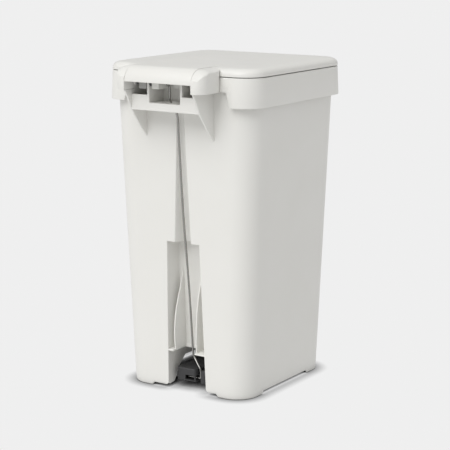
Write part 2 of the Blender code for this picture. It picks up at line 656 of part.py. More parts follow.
def make_tread():
    """The soft pad on the pedal, with raised bars."""
    low, high = 0.0444, 0.0402
    side = [(-0.1715, high), (-0.1380, low), (-0.1380, low + 0.0018), (-0.1715, high + 0.0018)]
    tread = prism("pedal_tread", side, "x", -0.0440, 0.0440)
    for k in range(4):
        y = -0.1660 + 0.0075 * k
        z = high + (low - high) * (y + 0.1715) / 0.0335 + 0.0012
        add(tread, box(f"tread_bar_{k}", (-0.0400, 0.0400), (y - 0.0012, y + 0.0012), (z, z + 0.0016)))
    hang(tread, pedal_pivot)
    finish(tread, "rubber")


def make_pedal_bearings():
    centre = (PIVOT_Y, PIVOT_Z)
    finish(disc("pedal_axle", "x", centre, PEDAL_AXLE_R, -0.0345, 0.0345), "steel")
    for side, sign in (("left", 1), ("right", -1)):
        cheek = arc(centre, 0.0080, 180, 360, 8)
        cheek += [(PIVOT_Y + 0.0080, FLOOR_LOW - RUN), (PIVOT_Y - 0.0080, FLOOR_LOW - RUN)]
        low, high = sorted((sign * 0.0230, sign * 0.0310))
        block = prism(f"pedal_bearing_{side}", cheek, "x", low, high)
        low, high = sorted((sign * 0.0230, sign * 0.0420))
        flange = box(f"bearing_flange_{side}", (low, high), (PIVOT_Y - 0.020, PIVOT_Y + 0.020),
                     (FLOOR_LOW - RUN - 0.0040, FLOOR_LOW - RUN))
        add(block, flange)
        bore = disc(f"bearing_bore_{side}", "x", centre, PEDAL_AXLE_R + RUN, -0.06, 0.06)
        cut(block, bore)
        for name, x, y in BEARING_SCREWS:
            if x * sign > 0:
                cut(block, disc(f"{name}_clear", "z", (x, y), 0.0019, 0.060, 0.080, 12))
        finish(block, "pom_white")
        low, high = sorted((sign * 0.0314, sign * 0.0326))
        finish(washer(f"pedal_axle_clip_{side}", centre, PEDAL_AXLE_R + RUN, 0.0062, low, high),
               "zinc")


def make_axle():
    centre = (AXIS_Y, AXIS_Z)
    finish(disc("hinge_axle", "x", centre, AXLE_R, -0.0770, 0.0770, 16), "steel")
    for side, sign in (("left", 1), ("right", -1)):
        low, high = sorted((sign * 0.0630, sign * 0.0642))
        finish(washer(f"axle_clip_{side}", centre, BORE_R, 0.0055, low, high, 16), "zinc")


def make_pads():
    for name, x, y in PAD_PLACES:
        finish(disc(name, "z", (x, y), PAD_R, 0.0, PAD_TOP, 20), "rubber")


def screw(name, axis, at, head, tip, shank_r, head_r, head_high):
    """A pan-head screw along an axis: head is the far side of its head, tip its point."""
    way = 1 if tip > head else -1
    neck = head + way * head_high
    loops = []
    for radius, along in ((head_r * 0.7, head), (head_r, head + way * head_high * 0.4),
                          (head_r, neck), (shank_r, neck), (shank_r, tip)):
        points = round_outline(at, radius, 12)
        if axis == "x":
            loops.append([(along, a, b) for a, b in points])
        else:
            loops.append([(a, b, along) for a, b in points])
    return stack(name, loops)


def make_screws():
    for name, x, y in BEARING_SCREWS:
        flange_low = FLOOR_LOW - RUN - 0.0040 - RUN
        finish(screw(name, "z", (x, y), flange_low - 0.0020, FLOOR_LOW + 0.0020, 0.0016,
                     0.0034, 0.0020), "zinc")
    for name, z in DAMPER_SCREWS:
        finish(screw(name, "x", (DAMPER_SCREW_Y, z), 0.0412 + RUN + 0.0018, 0.0352, 0.0014,
                     0.0028, 0.0018), "zinc")
    for name, y in CRANK_SCREWS:
        head_low = CRANK_TOP - 0.0035 - RUN - 0.0018
        piece = screw(name, "z", (CRANK_SCREW_X, y), head_low, 0.6158, 0.0012, 0.0028, 0.0018)
        hang(piece, lid_pivot)
        finish(piece, "zinc")


# ---- the assembly --------------------------------------------------------------------------------
for thing in list(bpy.data.objects):
    bpy.data.objects.remove(thing, do_unlink=True)

bin_frame = empty("bin_frame", (0.0, RIM_Y, 0.0))
lid_pivot = empty("lid_pivot", (0.0, AXIS_Y, AXIS_Z))
rod_pivot = empty("rod_pivot", (0.0, *CRANK_PIN))
pedal_pivot = empty("pedal_pivot", (0.0, PIVOT_Y, PIVOT_Z))
for pivot in (lid_pivot, rod_pivot, pedal_pivot):
    pivot.parent = bin_frame

make_bucket()
make_band()
make_bag_ring()
for cover_side, cover_sign in (("left", 1), ("right", -1)):
    make_hinge_cover(cover_side, cover_sign)
make_lid_shell()
make_lid_liner()
make_crank()
make_damper()
make_bumpers()
make_axle()
make_rod()
make_lever()
make_tread()
make_pedal_bearings()
make_pads()
make_screws()
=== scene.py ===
import math

import bmesh
import bpy
from mathutils import Matrix, Vector


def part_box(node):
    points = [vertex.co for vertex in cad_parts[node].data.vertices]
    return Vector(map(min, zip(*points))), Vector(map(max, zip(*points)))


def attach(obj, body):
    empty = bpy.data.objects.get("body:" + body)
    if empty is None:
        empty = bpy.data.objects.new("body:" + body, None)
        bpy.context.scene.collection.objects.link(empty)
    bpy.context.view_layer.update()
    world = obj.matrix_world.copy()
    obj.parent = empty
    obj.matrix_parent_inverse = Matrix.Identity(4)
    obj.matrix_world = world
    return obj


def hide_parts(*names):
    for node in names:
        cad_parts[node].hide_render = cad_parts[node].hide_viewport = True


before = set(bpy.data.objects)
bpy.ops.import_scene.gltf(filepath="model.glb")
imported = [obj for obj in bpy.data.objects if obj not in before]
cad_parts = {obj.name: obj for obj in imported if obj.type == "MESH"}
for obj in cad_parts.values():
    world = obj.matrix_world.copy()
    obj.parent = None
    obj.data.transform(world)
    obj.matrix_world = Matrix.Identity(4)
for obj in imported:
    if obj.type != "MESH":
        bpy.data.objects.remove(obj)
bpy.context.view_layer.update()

# The looks of a pedal bin: moulded polypropylene shells round a steel wire linkage.
# Shapes are made in bin coordinates, whose origin is the floor under the middle of the rim band,
# and each piece is moved to its place in the frame when it is settled.

# ---- sizes, in metres ---------------------------------------------------------------------------
band_low_corner, band_high_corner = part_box("rim_band")
RIM_Y = (band_low_corner.y + band_high_corner.y) / 2
BAND_FOOT = band_low_corner.z
BAND_HEAD = band_high_corner.z
SHIFT = Vector((0, RIM_Y, 0))      # from bin coordinates to the frame's
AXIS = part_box("hinge_axle")[0].lerp(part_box("hinge_axle")[1], 0.5) - SHIFT
PEDAL_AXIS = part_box("pedal_axle")[0].lerp(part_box("pedal_axle")[1], 0.5) - SHIFT
CRANK_PIN = (0.1740, 0.5825)       # (y, z) of the rod's hook in the crank
ROD_FOOT = (0.1225, 0.0235)        # (y, z) of its bar in the lever
ROD_R = 0.0020
GAP = 0.0003                       # between pieces that move or are fitted
BORE_R = 0.0023                    # round the hinge axle and the rod
PEDAL_BORE_R = 0.0033
CORNER_STEPS = 14                  # sides of each rounded corner of the bucket, the band and the lid

# Outlines are (height, width, depth, corner radius, middle y), with straight lines between two.
# The bucket's are at its foot and under the rim band.
FOOT = (0.0056, 0.2686, 0.2940, 0.0439, -0.0022)
NECK = (0.5465, 0.3138, 0.3166, 0.0456, -0.0004)
BUCKET_TOP = 0.5970
WALL = 0.0030
FLOOR_LOW = 0.0745
FLOOR_TOP = FLOOR_LOW + WALL
SKIRT_EDGE = 0.0056                # how far the skirt's edge is raised between the corner feet
TOE_R = 0.0032                     # rounding of the bucket's foot
# Rows of points where the skirt's edge rises from a corner foot, across the bin and along it.
RISE_X = [0.0765, 0.0745, 0.0730, 0.0715, 0.0700]
RISE_REAR_Y = [0.0830, 0.0812, 0.0795, 0.0778, 0.0760]
RISE_FRONT_Y = [-0.0805, -0.0823, -0.0840, -0.0857, -0.0875]

BAND_LOW = (BAND_FOOT, 0.3328, 0.3367, 0.0434, 0.0)
BAND_TOP = (BAND_HEAD, 0.3292, 0.3320, 0.0424, 0.0)
BAND_WALL = 0.0025
BAND_EDGE_R = 0.0014
LIP_INSET = 0.0180                 # the band's top reaches in this far
LIP_WALL = 0.0020
LIP_SKIN = 0.0024                  # the band's thickness on top
LIP_LOW = 0.580
NOTCH_FOOT = 0.1160                # half width of the band's rear notch at its open foot
NOTCH_HEAD = (0.1080, 0.5740)      # half width and height of its top

LID_BASE = BAND_HEAD + 0.0016
LID_SKIN = 0.0022
FLAP_R = 0.0300                    # about the hinge axis
FLAP_SPAN = 0.0721                 # half the flap's width
COVER_IN = 0.0726                  # x of a cover's inner and outer side
COVER_OUT = 0.0967
COVER_LOW = 0.5735
COVER_BACK = 0.2262
COVER_TIP = 0.1622
COVER_CORNER_R = 0.0200
COVER_HOLLOW = (0.0790, 0.0910)    # x of the hollow inside a cover
COVER_HOLLOW_Y = (0.1707, 0.2140)
# (y, z) of the hollow's top, from the back forwards.
COVER_HOLLOW_TOP = [(0.2140, 0.5970), (0.1980, 0.6075), (0.1707, 0.6105)]
NOSE_STEPS = 16                    # sides of a cover's rounded nose
COVER_NECK = 0.1682                # in front of this the covers lie only above the band
COVER_PLAY = 0.0008                # between the lid and the covers

# The rod's channel down the back, and the recess under it. Floors are (y, z) at top and foot.
CHANNEL_TOP = (0.1558, 0.5300)
CHANNEL_LOW = (0.1285, 0.2870)
CHANNEL_X = -0.0025
CHANNEL_HALF = 0.0075              # half width at its top
CHANNEL_WIDENS = 0.0105            # and how much is added by its foot
CHANNEL_SLOPE = 0.45               # share of the half width that its sloped side takes
CHANNEL_SKEW = 1.2                 # its inner face stands off by more than the wall, as it slopes
RECESS_TOP = 0.2870
RECESS_HIGH = (0.1140, RECESS_TOP)
RECESS_LOW = (0.1040, FLOOR_LOW)
RECESS_LEFT = (0.0330, 0.0368)     # its edges' x at the top and at the skirt
RECESS_RIGHT = (-0.0385, -0.0485)
FIN_X = 0.0240
FIN_TOP = 0.2380
FIN_HALF = 0.0012
EDGE_R = 0.0012                    # rounding where the recess turns in from the back
ROOT_R = 0.0022                    # rounding where its sides meet its floor
DRAFT = 0.0006
ARCH_HALF = 0.054                  # the pedal's arch
ARCH_TOP = 0.052
LEG_FLARE = 0.0085                 # the tunnel's sides spread by this much at the floor

# The grip frame behind the rim.
FRAME_IN = 0.1545
GRIP_HALF = 0.0734
GRIP_LOW = 0.5360
GRIP_STEP = 0.0347                 # half width of the grip panel's low middle
PANEL_TOP = 0.5645
SHELF = (0.5475, 0.5505)
DAMPER_BARREL_R = 0.0046           # passes through the frame's left rib


# ---- meshes -------------------------------------------------------------------------------------
def mesh_object(name, points, faces):
    """A linked object with this mesh, its faces turned outwards."""
    mesh = bpy.data.meshes.new(name)
    mesh.from_pydata([tuple(p) for p in points], [], faces)
    work = bmesh.new()
    work.from_mesh(mesh)
    bmesh.ops.recalc_face_normals(work, faces=work.faces)
    work.to_mesh(mesh)
    work.free()
    made = bpy.data.objects.new(name, mesh)
    bpy.context.scene.collection.objects.link(made)
    return made


def stack(name, loops, closed=False):
    """A skin over loops of equal length, capped at both ends or closed round on itself."""
    n = len(loops[0])
    points = [p for loop in loops for p in loop]
    pairs = [(i, i + 1) for i in range(len(loops) - 1)]
    if closed:
        pairs.append((len(loops) - 1, 0))
    faces = []
    for low, high in pairs:
        for k in range(n):
            m = (k + 1) % n
            faces.append((low * n + k, low * n + m, high * n + m, high * n + k))
    if not closed:
        faces.append(tuple(reversed(range(n))))
        faces.append(tuple(range((len(loops) - 1) * n, len(loops) * n)))
    return mesh_object(name, points, faces)


def prism(name, outline, axis, low, high):
    """A polygon pushed along an axis. Its points are (y, z), (x, z) or (x, y), in that order."""
    def place(p, along):
        a, b = p
        return {"x": (along, a, b), "y": (a, along, b), "z": (a, b, along)}[axis]
    return stack(name, [[place(p, low) for p in outline], [place(p, high) for p in outline]])


def box(name, x, y, z):
    """A block between two values along each axis."""
    outline = [(x[0], y[0]), (x[1], y[0]), (x[1], y[1]), (x[0], y[1])]
    return prism(name, outline, "z", z[0], z[1])


def arc(centre, radius, start, end, steps):
    """Points on an arc, angles in degrees."""
    turns = [math.radians(start + (end - start) * k / steps) for k in range(steps + 1)]
    return [(centre[0] + radius * math.cos(a), centre[1] + radius * math.sin(a)) for a in turns]


def circle(centre, radius, sides):
    """Points round a circle, the first of them at angle 0."""
    return arc(centre, radius, 0, 360, sides)[:-1]


def rounded(outline, radius, steps=6):
    """A polygon with each corner rounded, by the radius or by as much as its sides allow."""
    made = []
    corners = [Vector(p) for p in outline]
    for before, at, after in zip(corners[-1:] + corners[:-1], corners, corners[1:] + corners[:1]):
        to_before = (before - at).normalized()
        to_after = (after - at).normalized()
        turn = to_before.angle(to_after) / 2
        room = min((before - at).length, (after - at).length) * 0.45
        reach = min(radius / math.tan(turn), room)
        start = at + to_before * reach
        end = at + to_after * reach
        if reach < 1e-5 or turn > math.radians(87):
            made.append(tuple(at))
            continue
        for k in range(steps + 1):
            t = k / steps
            made.append(tuple(start * (1 - t) ** 2 + at * (2 * t * (1 - t)) + end * t ** 2))
    return made


def turned(name, axis, centre, profile, sides=40, closed=False):
    """A shape turned about a line along x or z. The profile is rows of (radius, along)."""
    loops = []
    for radius, along in profile:
        ring = circle(centre, radius, sides)
        if axis == "x":
            loops.append([(along, a, b) for a, b in ring])
        else:
            loops.append([(a, b, along) for a, b in ring])
    return stack(name, loops, closed)


def solid_disc(name, axis, centre, radius, low, high, round_r=0.0004, sides=40):
    """A disc or rod with rounded rims."""
    return turned(name, axis, centre, [
        (radius - round_r, low), (radius - round_r * 0.3, low + round_r * 0.3),
        (radius, low + round_r), (radius, high - round_r),
        (radius - round_r * 0.3, high - round_r * 0.3), (radius - round_r, high)], sides)


def ring_disc(name, axis, centre, inner, outer, low, high, round_r=0.0002, sides=40):
    """A flat ring with rounded rims."""
    c = round_r
    return turned(name, axis, centre, [
        (inner, low + c), (inner + c, low), (outer - c, low), (outer, low + c),
        (outer, high - c), (outer - c, high), (inner + c, high), (inner, high - c)], sides, True)


def smooth_line(points, steps):
    """A curve through points, by Catmull and Rom's rule."""
    ends = [Vector(p) for p in points]
    ends = [ends[0] * 2 - ends[1]] + ends + [ends[-1] * 2 - ends[-2]]
    made = []
    for a, b, c, d in zip(ends, ends[1:], ends[2:], ends[3:]):
        for k in range(steps):
            t = k / steps
            made.append(tuple(0.5 * (2 * b + (c - a) * t + (2 * a - 5 * b + 4 * c - d) * t ** 2
                                     + (3 * b - a - 3 * c + d) * t ** 3)))
    made.append(tuple(ends[-2]))
    return made


def applied(piece):
    """Turns a piece's modifiers into plain mesh."""
    graph = bpy.context.evaluated_depsgraph_get()
    graph.update()
    mesh = bpy.data.meshes.new_from_object(piece.evaluated_get(graph))
    piece.modifiers.clear()
    piece.data = mesh
    return piece


def combine(target, operation, *others):
    """One Boolean after another, each applied; the other shapes are removed."""
    for other in others:
        step = target.modifiers.new(other.name, "BOOLEAN")
        step.operation = operation
        step.solver = "EXACT"
        step.object = other
        applied(target)
        bpy.data.objects.remove(other, do_unlink=True)
    return target


def cut(target, *cutters):
    """Takes the cutters' shapes out of the target."""
    return combine(target, "DIFFERENCE", *cutters)


def join(target, *others):
    """Fuses the other shapes into the target."""
    return combine(target, "UNION", *others)


def soften(piece, width, chosen=None, segments=3, sharp=30):
    """Rounds the outward edges that are sharper than an angle, where chosen(middle) agrees."""
    work = bmesh.new()
    work.from_mesh(piece.data)
    bmesh.ops.remove_doubles(work, verts=work.verts, dist=1e-6)
    bmesh.ops.dissolve_limit(work, angle_limit=math.radians(0.4), verts=work.verts,
                             edges=work.edges, delimit=set())
    edges = []
    for edge in work.edges:
        if len(edge.link_faces) != 2:
            continue
        middle = (edge.verts[0].co + edge.verts[1].co) / 2
        if edge.calc_face_angle_signed(0) > math.radians(sharp):
            if chosen is None or chosen(middle, edge):
                edges.append(edge)
    bmesh.ops.bevel(work, geom=edges, offset=width, offset_type="OFFSET", segments=segments,
                    profile=0.5, affect="EDGES", clamp_overlap=True)
    work.to_mesh(piece.data)
    work.free()
    return piece


def node_middle(node):
    """The middle of a CAD node's box, in bin coordinates."""
    low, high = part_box(node)
    return Vector(((low.x + high.x) / 2, (low.y + high.y) / 2 - RIM_Y, (low.z + high.z) / 2))


def settle(piece, finish, body, slot, *nodes, sharp=32):
    """Places a finished piece in the frame, with its material, body and CAD nodes; slot is not used."""
    applied(piece)
    piece.data.transform(Matrix.Translation(SHIFT))
    piece.data.materials.clear()
    piece.data.materials.append(finish)
    piece.data.shade_smooth()
    piece.data.set_sharp_from_angle(angle=math.radians(sharp))
    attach(piece, body)
    if nodes:
        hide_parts(*nodes)
    return piece


# ---- outlines -----------------------------------------------------------------------------------
def blend_outline(low, high, z):
    """The outline (width, depth, radius, middle y) at height z, on a straight taper."""
    t = (z - low[0]) / (high[0] - low[0])
    return tuple(a + (b - a) * t for a, b in zip(low[1:], high[1:]))


def bucket_outline(z):
    """The bucket's outer outline at height z."""
    return blend_outline(FOOT, NECK, z)


def band_outline(z):
    """The rim band's outer outline at height z."""
    return blend_outline(BAND_LOW, BAND_TOP, z)


def rounded_loop(outline, z, inset=0.0, steps=CORNER_STEPS):
    """Points of a rounded rectangle at height z, anticlockwise seen from above."""
    width, depth, radius, middle = outline
    half_x = width / 2 - inset
    half_y = depth / 2 - inset
    r = max(radius - inset, 0.002)
    points = []
    for corner, (sx, sy) in enumerate(((1, 1), (-1, 1), (-1, -1), (1, -1))):
        for x, y in arc((sx * (half_x - r), sy * (half_y - r) + middle), r,
                        90 * corner, 90 * (corner + 1), steps):
            points.append(Vector((x, y, z)))
    return points


def smooth_step(low, high, value):
    """0 up to low and 1 from high, with an eased rise between them."""
    t = min(max((value - low) / (high - low), 0.0), 1.0)
    return t * t * (3 - 2 * t)


def line_at(low, high, z):
    """How far back a floor lies at height z, on the line between two (y, z) points."""
    return low[0] + (high[0] - low[0]) * (z - low[1]) / (high[1] - low[1])


# ---- the bucket ---------------------------------------------------------------------------------
def steep_side(inside, depth):
    """How deep a recess is, this far inside its edge: rounded edge, steep side, rounded root."""
    if inside <= -EDGE_R:
        return 0.0
    if inside <= 0:
        return EDGE_R - math.sqrt(max(EDGE_R ** 2 - (inside + EDGE_R) ** 2, 0.0))
    if inside <= DRAFT:
        return EDGE_R + (depth - EDGE_R - ROOT_R) * inside / DRAFT
    if inside <= DRAFT + ROOT_R:
        rest = ROOT_R + DRAFT - inside
        return depth - ROOT_R + math.sqrt(max(ROOT_R ** 2 - rest ** 2, 0.0))
    return depth


# Where rows of points follow the roundings of a steep side, and of the channel's soft one.
STEEP_STATIONS = [EDGE_R * k for k in (-1.6, -1.0, -0.75, -0.5, -0.25, -0.08, 0.0)]
STEEP_STATIONS += [DRAFT + ROOT_R * k for k in (0.0, 0.08, 0.3, 0.6, 1.0)]
SOFT_WIDTH = 0.14
SOFT_STATIONS = [-0.14, -0.08, 0.0, 0.08, 0.14, 0.5, 0.86, 0.92, 1.0, 1.08, 1.14]
# Rows of points up the back, under and over the recess's top.
LOWER_ROWS = [0.12, 0.17, 0.22, 0.26]
UPPER_ROWS = [0.33, 0.38, 0.43, 0.48, 0.51, 0.52, 0.527, 0.533, 0.539, 0.545, 0.57, BUCKET_TOP]


def soft_side(t):
    """A slope from 0 to 1 with both its ends eased."""
    w = SOFT_WIDTH
    if t <= -w:
        return 0.0
    if t < w:
        return (t + w) ** 2 / (4 * w)
    if t <= 1 - w:
        return t
    if t < 1 + w:
        return 1 - (1 + w - t) ** 2 / (4 * w)
    return 1.0


def channel_half(z):
    """Half the rod channel's width at height z."""
    z = min(max(z, RECESS_TOP), BUCKET_TOP)
    return CHANNEL_HALF + CHANNEL_WIDENS * (CHANNEL_TOP[1] - z) / (CHANNEL_TOP[1] - RECESS_TOP)


def recess_edges(z):
    """The x of the recess's left and right edge at height z."""
    t = (z - SKIRT_EDGE) / (RECESS_TOP - SKIRT_EDGE)
    return tuple(foot + (top - foot) * t for top, foot in (RECESS_LEFT, RECESS_RIGHT))


def back_depth(x, z, back, grow):
    """How far the rod channel and the recess sink the bucket's back at (x, z)."""
    left, right = recess_edges(z)
    depth = 0.0
    if z > RECESS_TOP - 0.006:
        half = channel_half(z) + grow * CHANNEL_SKEW
        room = back - (line_at(CHANNEL_LOW, CHANNEL_TOP, z) - grow)
        if room > 0:
            depth = room * soft_side((half - abs(x - CHANNEL_X)) / (CHANNEL_SLOPE * half))
    sides = min(left + grow - x, x - right + grow)
    if z > FLOOR_LOW + WALL / 2:
        room = back - (line_at(RECESS_LOW, RECESS_HIGH, z) - grow)
        ends = min(RECESS_TOP + grow - z, 1.0 if grow else z - FLOOR_TOP)
        return max(depth, min(steep_side(sides, room), steep_side(ends, room)))
    if grow:
        return depth
    ends = FLOOR_LOW - z
    return min(steep_side(sides, 0.05), steep_side(ends, 0.05), 0.0018)


def bucket_loop(z, inset=0.0, lift=None, grow=None):
    """One row of the bucket's skin.

    With a lift the row lies that high and follows the skirt's edge. grow is how far the row lies
    inside the outer skin where the back is sunk, and without it the back is not sunk.
    """
    width, depth, radius, middle = bucket_outline(z)
    half_x = width / 2 - inset
    half_y = depth / 2 - inset
    r = radius - inset
    side = half_x - r
    end = half_y - r
    edge_z = min(max(z, 0.0), RECESS_TOP)
    left, right = recess_edges(edge_z)
    shift = grow or 0.0
    near_corner = side * 0.86
    back_x = [near_corner] + RISE_X + [0.055]
    back_x += [left + shift - d for d in STEEP_STATIONS]
    half = channel_half(z) + shift * CHANNEL_SKEW
    slope = [half - t * CHANNEL_SLOPE * half for t in SOFT_STATIONS]
    back_x += [CHANNEL_X + h for h in slope] + [CHANNEL_X - h for h in reversed(slope)]
    back_x += [right - shift + d for d in reversed(STEEP_STATIONS)]
    back_x += [-0.060] + [-x for x in reversed(RISE_X)] + [-near_corner]
    front_x = [-near_corner] + [-x for x in RISE_X] + [0.0]
    front_x += [-x for x in reversed(front_x[:-1])]
    side_y = RISE_REAR_Y + [0.0] + RISE_FRONT_Y
    points = []

    def corner(index, sx, sy):
        centre = (sx * side, sy * end + middle)
        points.extend(arc(centre, r, 90 * index, 90 * (index + 1), CORNER_STEPS))

    corner(0, 1, 1)
    back = half_y + middle
    for x in back_x:
        sunk = 0.0 if grow is None else back_depth(x, z, back, grow)
        points.append((x, back - sunk))
    corner(1, -1, 1)
    points.extend((-half_x, y) for y in side_y)
    corner(2, -1, -1)
    points.extend((x, -half_y + middle) for x in front_x)
    corner(3, 1, -1)
    points.extend((half_x, y) for y in reversed(side_y))
    made = []
    for x, y in points:
        height = z
        if lift is not None:
            height = lift + SKIRT_EDGE * skirt_rise(x, y)
        made.append(Vector((x, y, height)))
    return made


def skirt_rise(x, y):
    """0 at the corner feet and 1 along the raised edge between them."""
    across = 1 - smooth_step(RISE_X[-1], RISE_X[0], abs(x))
    rear = 1 - smooth_step(RISE_REAR_Y[-1], RISE_REAR_Y[0], y)
    front = smooth_step(RISE_FRONT_Y[-1], RISE_FRONT_Y[0], y)
    return max(across, min(rear, front))


def bucket_skin():
    """The whole moulded bucket as one skin: hollow foot, wall, rim and cavity."""
    foot_z = 0.0005
    loops = [bucket_loop(FLOOR_LOW, WALL), bucket_loop(foot_z, WALL, lift=foot_z)]
    for k in range(5):
        turn = math.radians(90 * k / 4)
        inset = TOE_R * (1 - math.sin(turn))
        rise = TOE_R * (1 - math.cos(turn))
        loops.append(bucket_loop(rise, inset, lift=rise))
    tunnel = [FLOOR_LOW - d for d in (DRAFT, 0.0, -0.08 * EDGE_R, -0.5 * EDGE_R, -EDGE_R)]
    heights = [0.0125, 0.030, 0.050] + tunnel
    heights += [FLOOR_TOP + d for d in STEEP_STATIONS if d > -1.2 * EDGE_R]
    heights += LOWER_ROWS + [RECESS_TOP - d for d in STEEP_STATIONS] + UPPER_ROWS
    heights = sorted(set(round(h, 6) for h in heights))
    loops += [bucket_loop(z, grow=0.0) for z in heights]
    down = UPPER_ROWS[::-1] + [RECESS_TOP + WALL - d for d in STEEP_STATIONS]
    down += LOWER_ROWS[::-1] + [0.095]
    loops += [bucket_loop(z, WALL, grow=WALL) for z in down]
    floor_r = 0.005
    for k in range(1, 5):
        turn = math.radians(90 * k / 4)
        z = FLOOR_TOP + floor_r * (1 - math.sin(turn))
        loops.append(bucket_loop(z, WALL + floor_r * (1 - math.cos(turn)), grow=WALL))
    return stack("moulded_bucket", loops)


def tunnel_cutters():
    """The tunnel, the rod's slot in the floor, the pedal's arch and the legs' flared feet."""
    back = 0.20
    front = RECESS_LOW[0] - 0.004
    inside = 0.0001
    loops = []
    for z in (-0.01, FLOOR_LOW - 0.0001):
        left, right = recess_edges(z)
        loops.append([(right + inside, front, z), (left - inside, front, z),
                      (left - inside, back, z), (right + inside, back, z)])
    slot = box("rod_slot", (-FIN_X, FIN_X), (RECESS_LOW[0] + 0.0014, back),
               (FLOOR_LOW - 0.004, FLOOR_TOP + 0.004))
    arch = rounded([(-ARCH_HALF, -0.01), (ARCH_HALF, -0.01), (ARCH_HALF, ARCH_TOP),
                    (-ARCH_HALF, ARCH_TOP)], 0.012, 8)
    flare = LEG_FLARE
    legs = []
    for x, way in zip(recess_edges(0.01), (1, -1)):
        foot = SKIRT_EDGE + 0.0002
        corner = [(x - way * 0.002, foot - 0.02), (x + way * flare, foot - 0.02),
                  (x + way * flare, foot)]
        curve = arc((x + way * flare, foot + flare), flare, -90, -90 - way * 90, 10)
        corner += curve[1:] + [(x - way * 0.002, foot + flare)]
        legs.append(prism("leg_corner", corner, "y", 0.1405, 0.1600))
    return [stack("tunnel", loops), slot, prism("pedal_arch", arch, "y", -0.17, -0.13)] + legs


# The fins' rear edges, as (y, z) from the top down.
FIN_LEFT_BOW = [(0.1110, 0.2340), (0.1210, 0.201), (0.1318, 0.170), (0.1385, 0.146),
                (0.1420, 0.118), (0.1415, 0.092), (0.1385, 0.0751)]
FIN_RIGHT_BOW = [(0.1110, 0.2360), (0.1190, 0.222), (0.1275, 0.201), (0.1352, 0.170),
                 (0.1385, 0.146), (0.1400, 0.118), (0.1408, 0.092), (0.1385, 0.0751)]


def fin(name, x, bow):
    """A guide fin beside the rod, from the recess floor back to a bowed edge."""
    foot = bow[-1][1]
    edge = smooth_line(bow, 5)
    root = [(line_at(RECESS_LOW, RECESS_HIGH, z) - 0.0015, z) for z in (foot, FIN_TOP)]
    made = prism(name, edge + root, "x", x - FIN_HALF, x + FIN_HALF)
    return soften(made, 0.0004, lambda at, edge: at.y > 0.1108, 2)


def handle_frame():
    """Gussets, ribs, shelf and grip panel behind the rim, which carry the hinge axle."""
    inside = FRAME_IN
    top = COVER_LOW - GAP
    gusset = smooth_line([(0.1548, 0.4812), (0.1730, 0.5000), (0.1870, 0.5170), (0.2015, 0.5360),
                          (0.2130, 0.5570), (0.2225, top)], 5) + [(inside, top)]
    rib = rounded([(inside, 0.5480), (0.2025, 0.5480), (0.2025, 0.5960), (0.1705, 0.5960),
                   (0.1705, top), (inside, top)], 0.0012)
    span = GRIP_HALF
    half = [(span, GRIP_LOW), (span, PANEL_TOP), (GRIP_STEP, PANEL_TOP), (GRIP_STEP, SHELF[1])]
    panel = [(-span, GRIP_LOW)] + half + [(-x, z) for x, z in reversed(half[1:])]
    parts = []
    for sign in (1, -1):
        low, high = sorted((sign * 0.0724, sign * 0.0763))
        parts.append(soften(prism(f"gusset_{sign}", gusset, "x", low, high), 0.0007, None, 3, 60))
        low, high = sorted((sign * 0.0337, sign * 0.0383))
        one = soften(prism(f"rib_{sign}", rib, "x", low, high), 0.0005, None, 2, 60)
        bore = DAMPER_BARREL_R + GAP if sign > 0 else BORE_R
        parts.append(cut(one, solid_disc("bore", "x", (AXIS.y, AXIS.z), bore, low - 0.01,
                                         high + 0.01)))
    face = soften(prism("grip_panel", panel, "y", 0.1995, 0.2027), 0.0007, None, 3, 60)
    bead = soften(box("grip_bead", (-span, span), (0.1965, 0.2030), (GRIP_LOW, GRIP_LOW + 0.0042)),
                  0.0010, lambda at, edge: at.y > 0.198, 3, 60)
    shelf = box("shelf", (-span, span), (inside, 0.2005), SHELF)
    cut(shelf, prism("rod_hole", rounded([(-0.0042, 0.1620), (0.0132, 0.1620), (0.0132, 0.1930),
                                          (-0.0042, 0.1930)], 0.003), "z", 0.54, 0.56))
    return join(face, bead, shelf, *parts)


def make_bucket():
    """The main moulding: skin, tunnel walls, fins, rear frame and the bosses for the pads."""
    body = bucket_skin()
    cut(body, *tunnel_cutters())
    sides = []
    for side, x, way in zip(("left", "right"), recess_edges(0.04), (1, -1)):
        left, right = sorted((x + way * 0.0006, x + way * 0.0030))
        profile = rounded([(0.1440, 0.0125), (0.1440, 0.0755), (0.0760, 0.0755), (0.0818, 0.0589),
                           (0.1089, 0.0349), (0.1175, 0.0182), (0.1250, 0.0090),
                           (0.1400, 0.0075)], 0.004)
        sides.append(soften(prism(f"tunnel_wall_{side}", profile, "x", left, right), 0.0006,
                            lambda at, edge: at.y < 0.130 and at.z < FLOOR_LOW, 2, 60))
    join(body, *sides, fin("fin_left", FIN_X, FIN_LEFT_BOW),
         fin("fin_right", -FIN_X, FIN_RIGHT_BOW), handle_frame())
    for node in PAD_NODES:
        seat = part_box(node)[1].z + GAP
        join(body, solid_disc("boss", "z", node_middle(node).xy, 0.0115, seat, FLOOR_LOW + 0.001))
    return settle(body, FINISHES["shell"], "frame", "shell_plastic", "bucket_body")


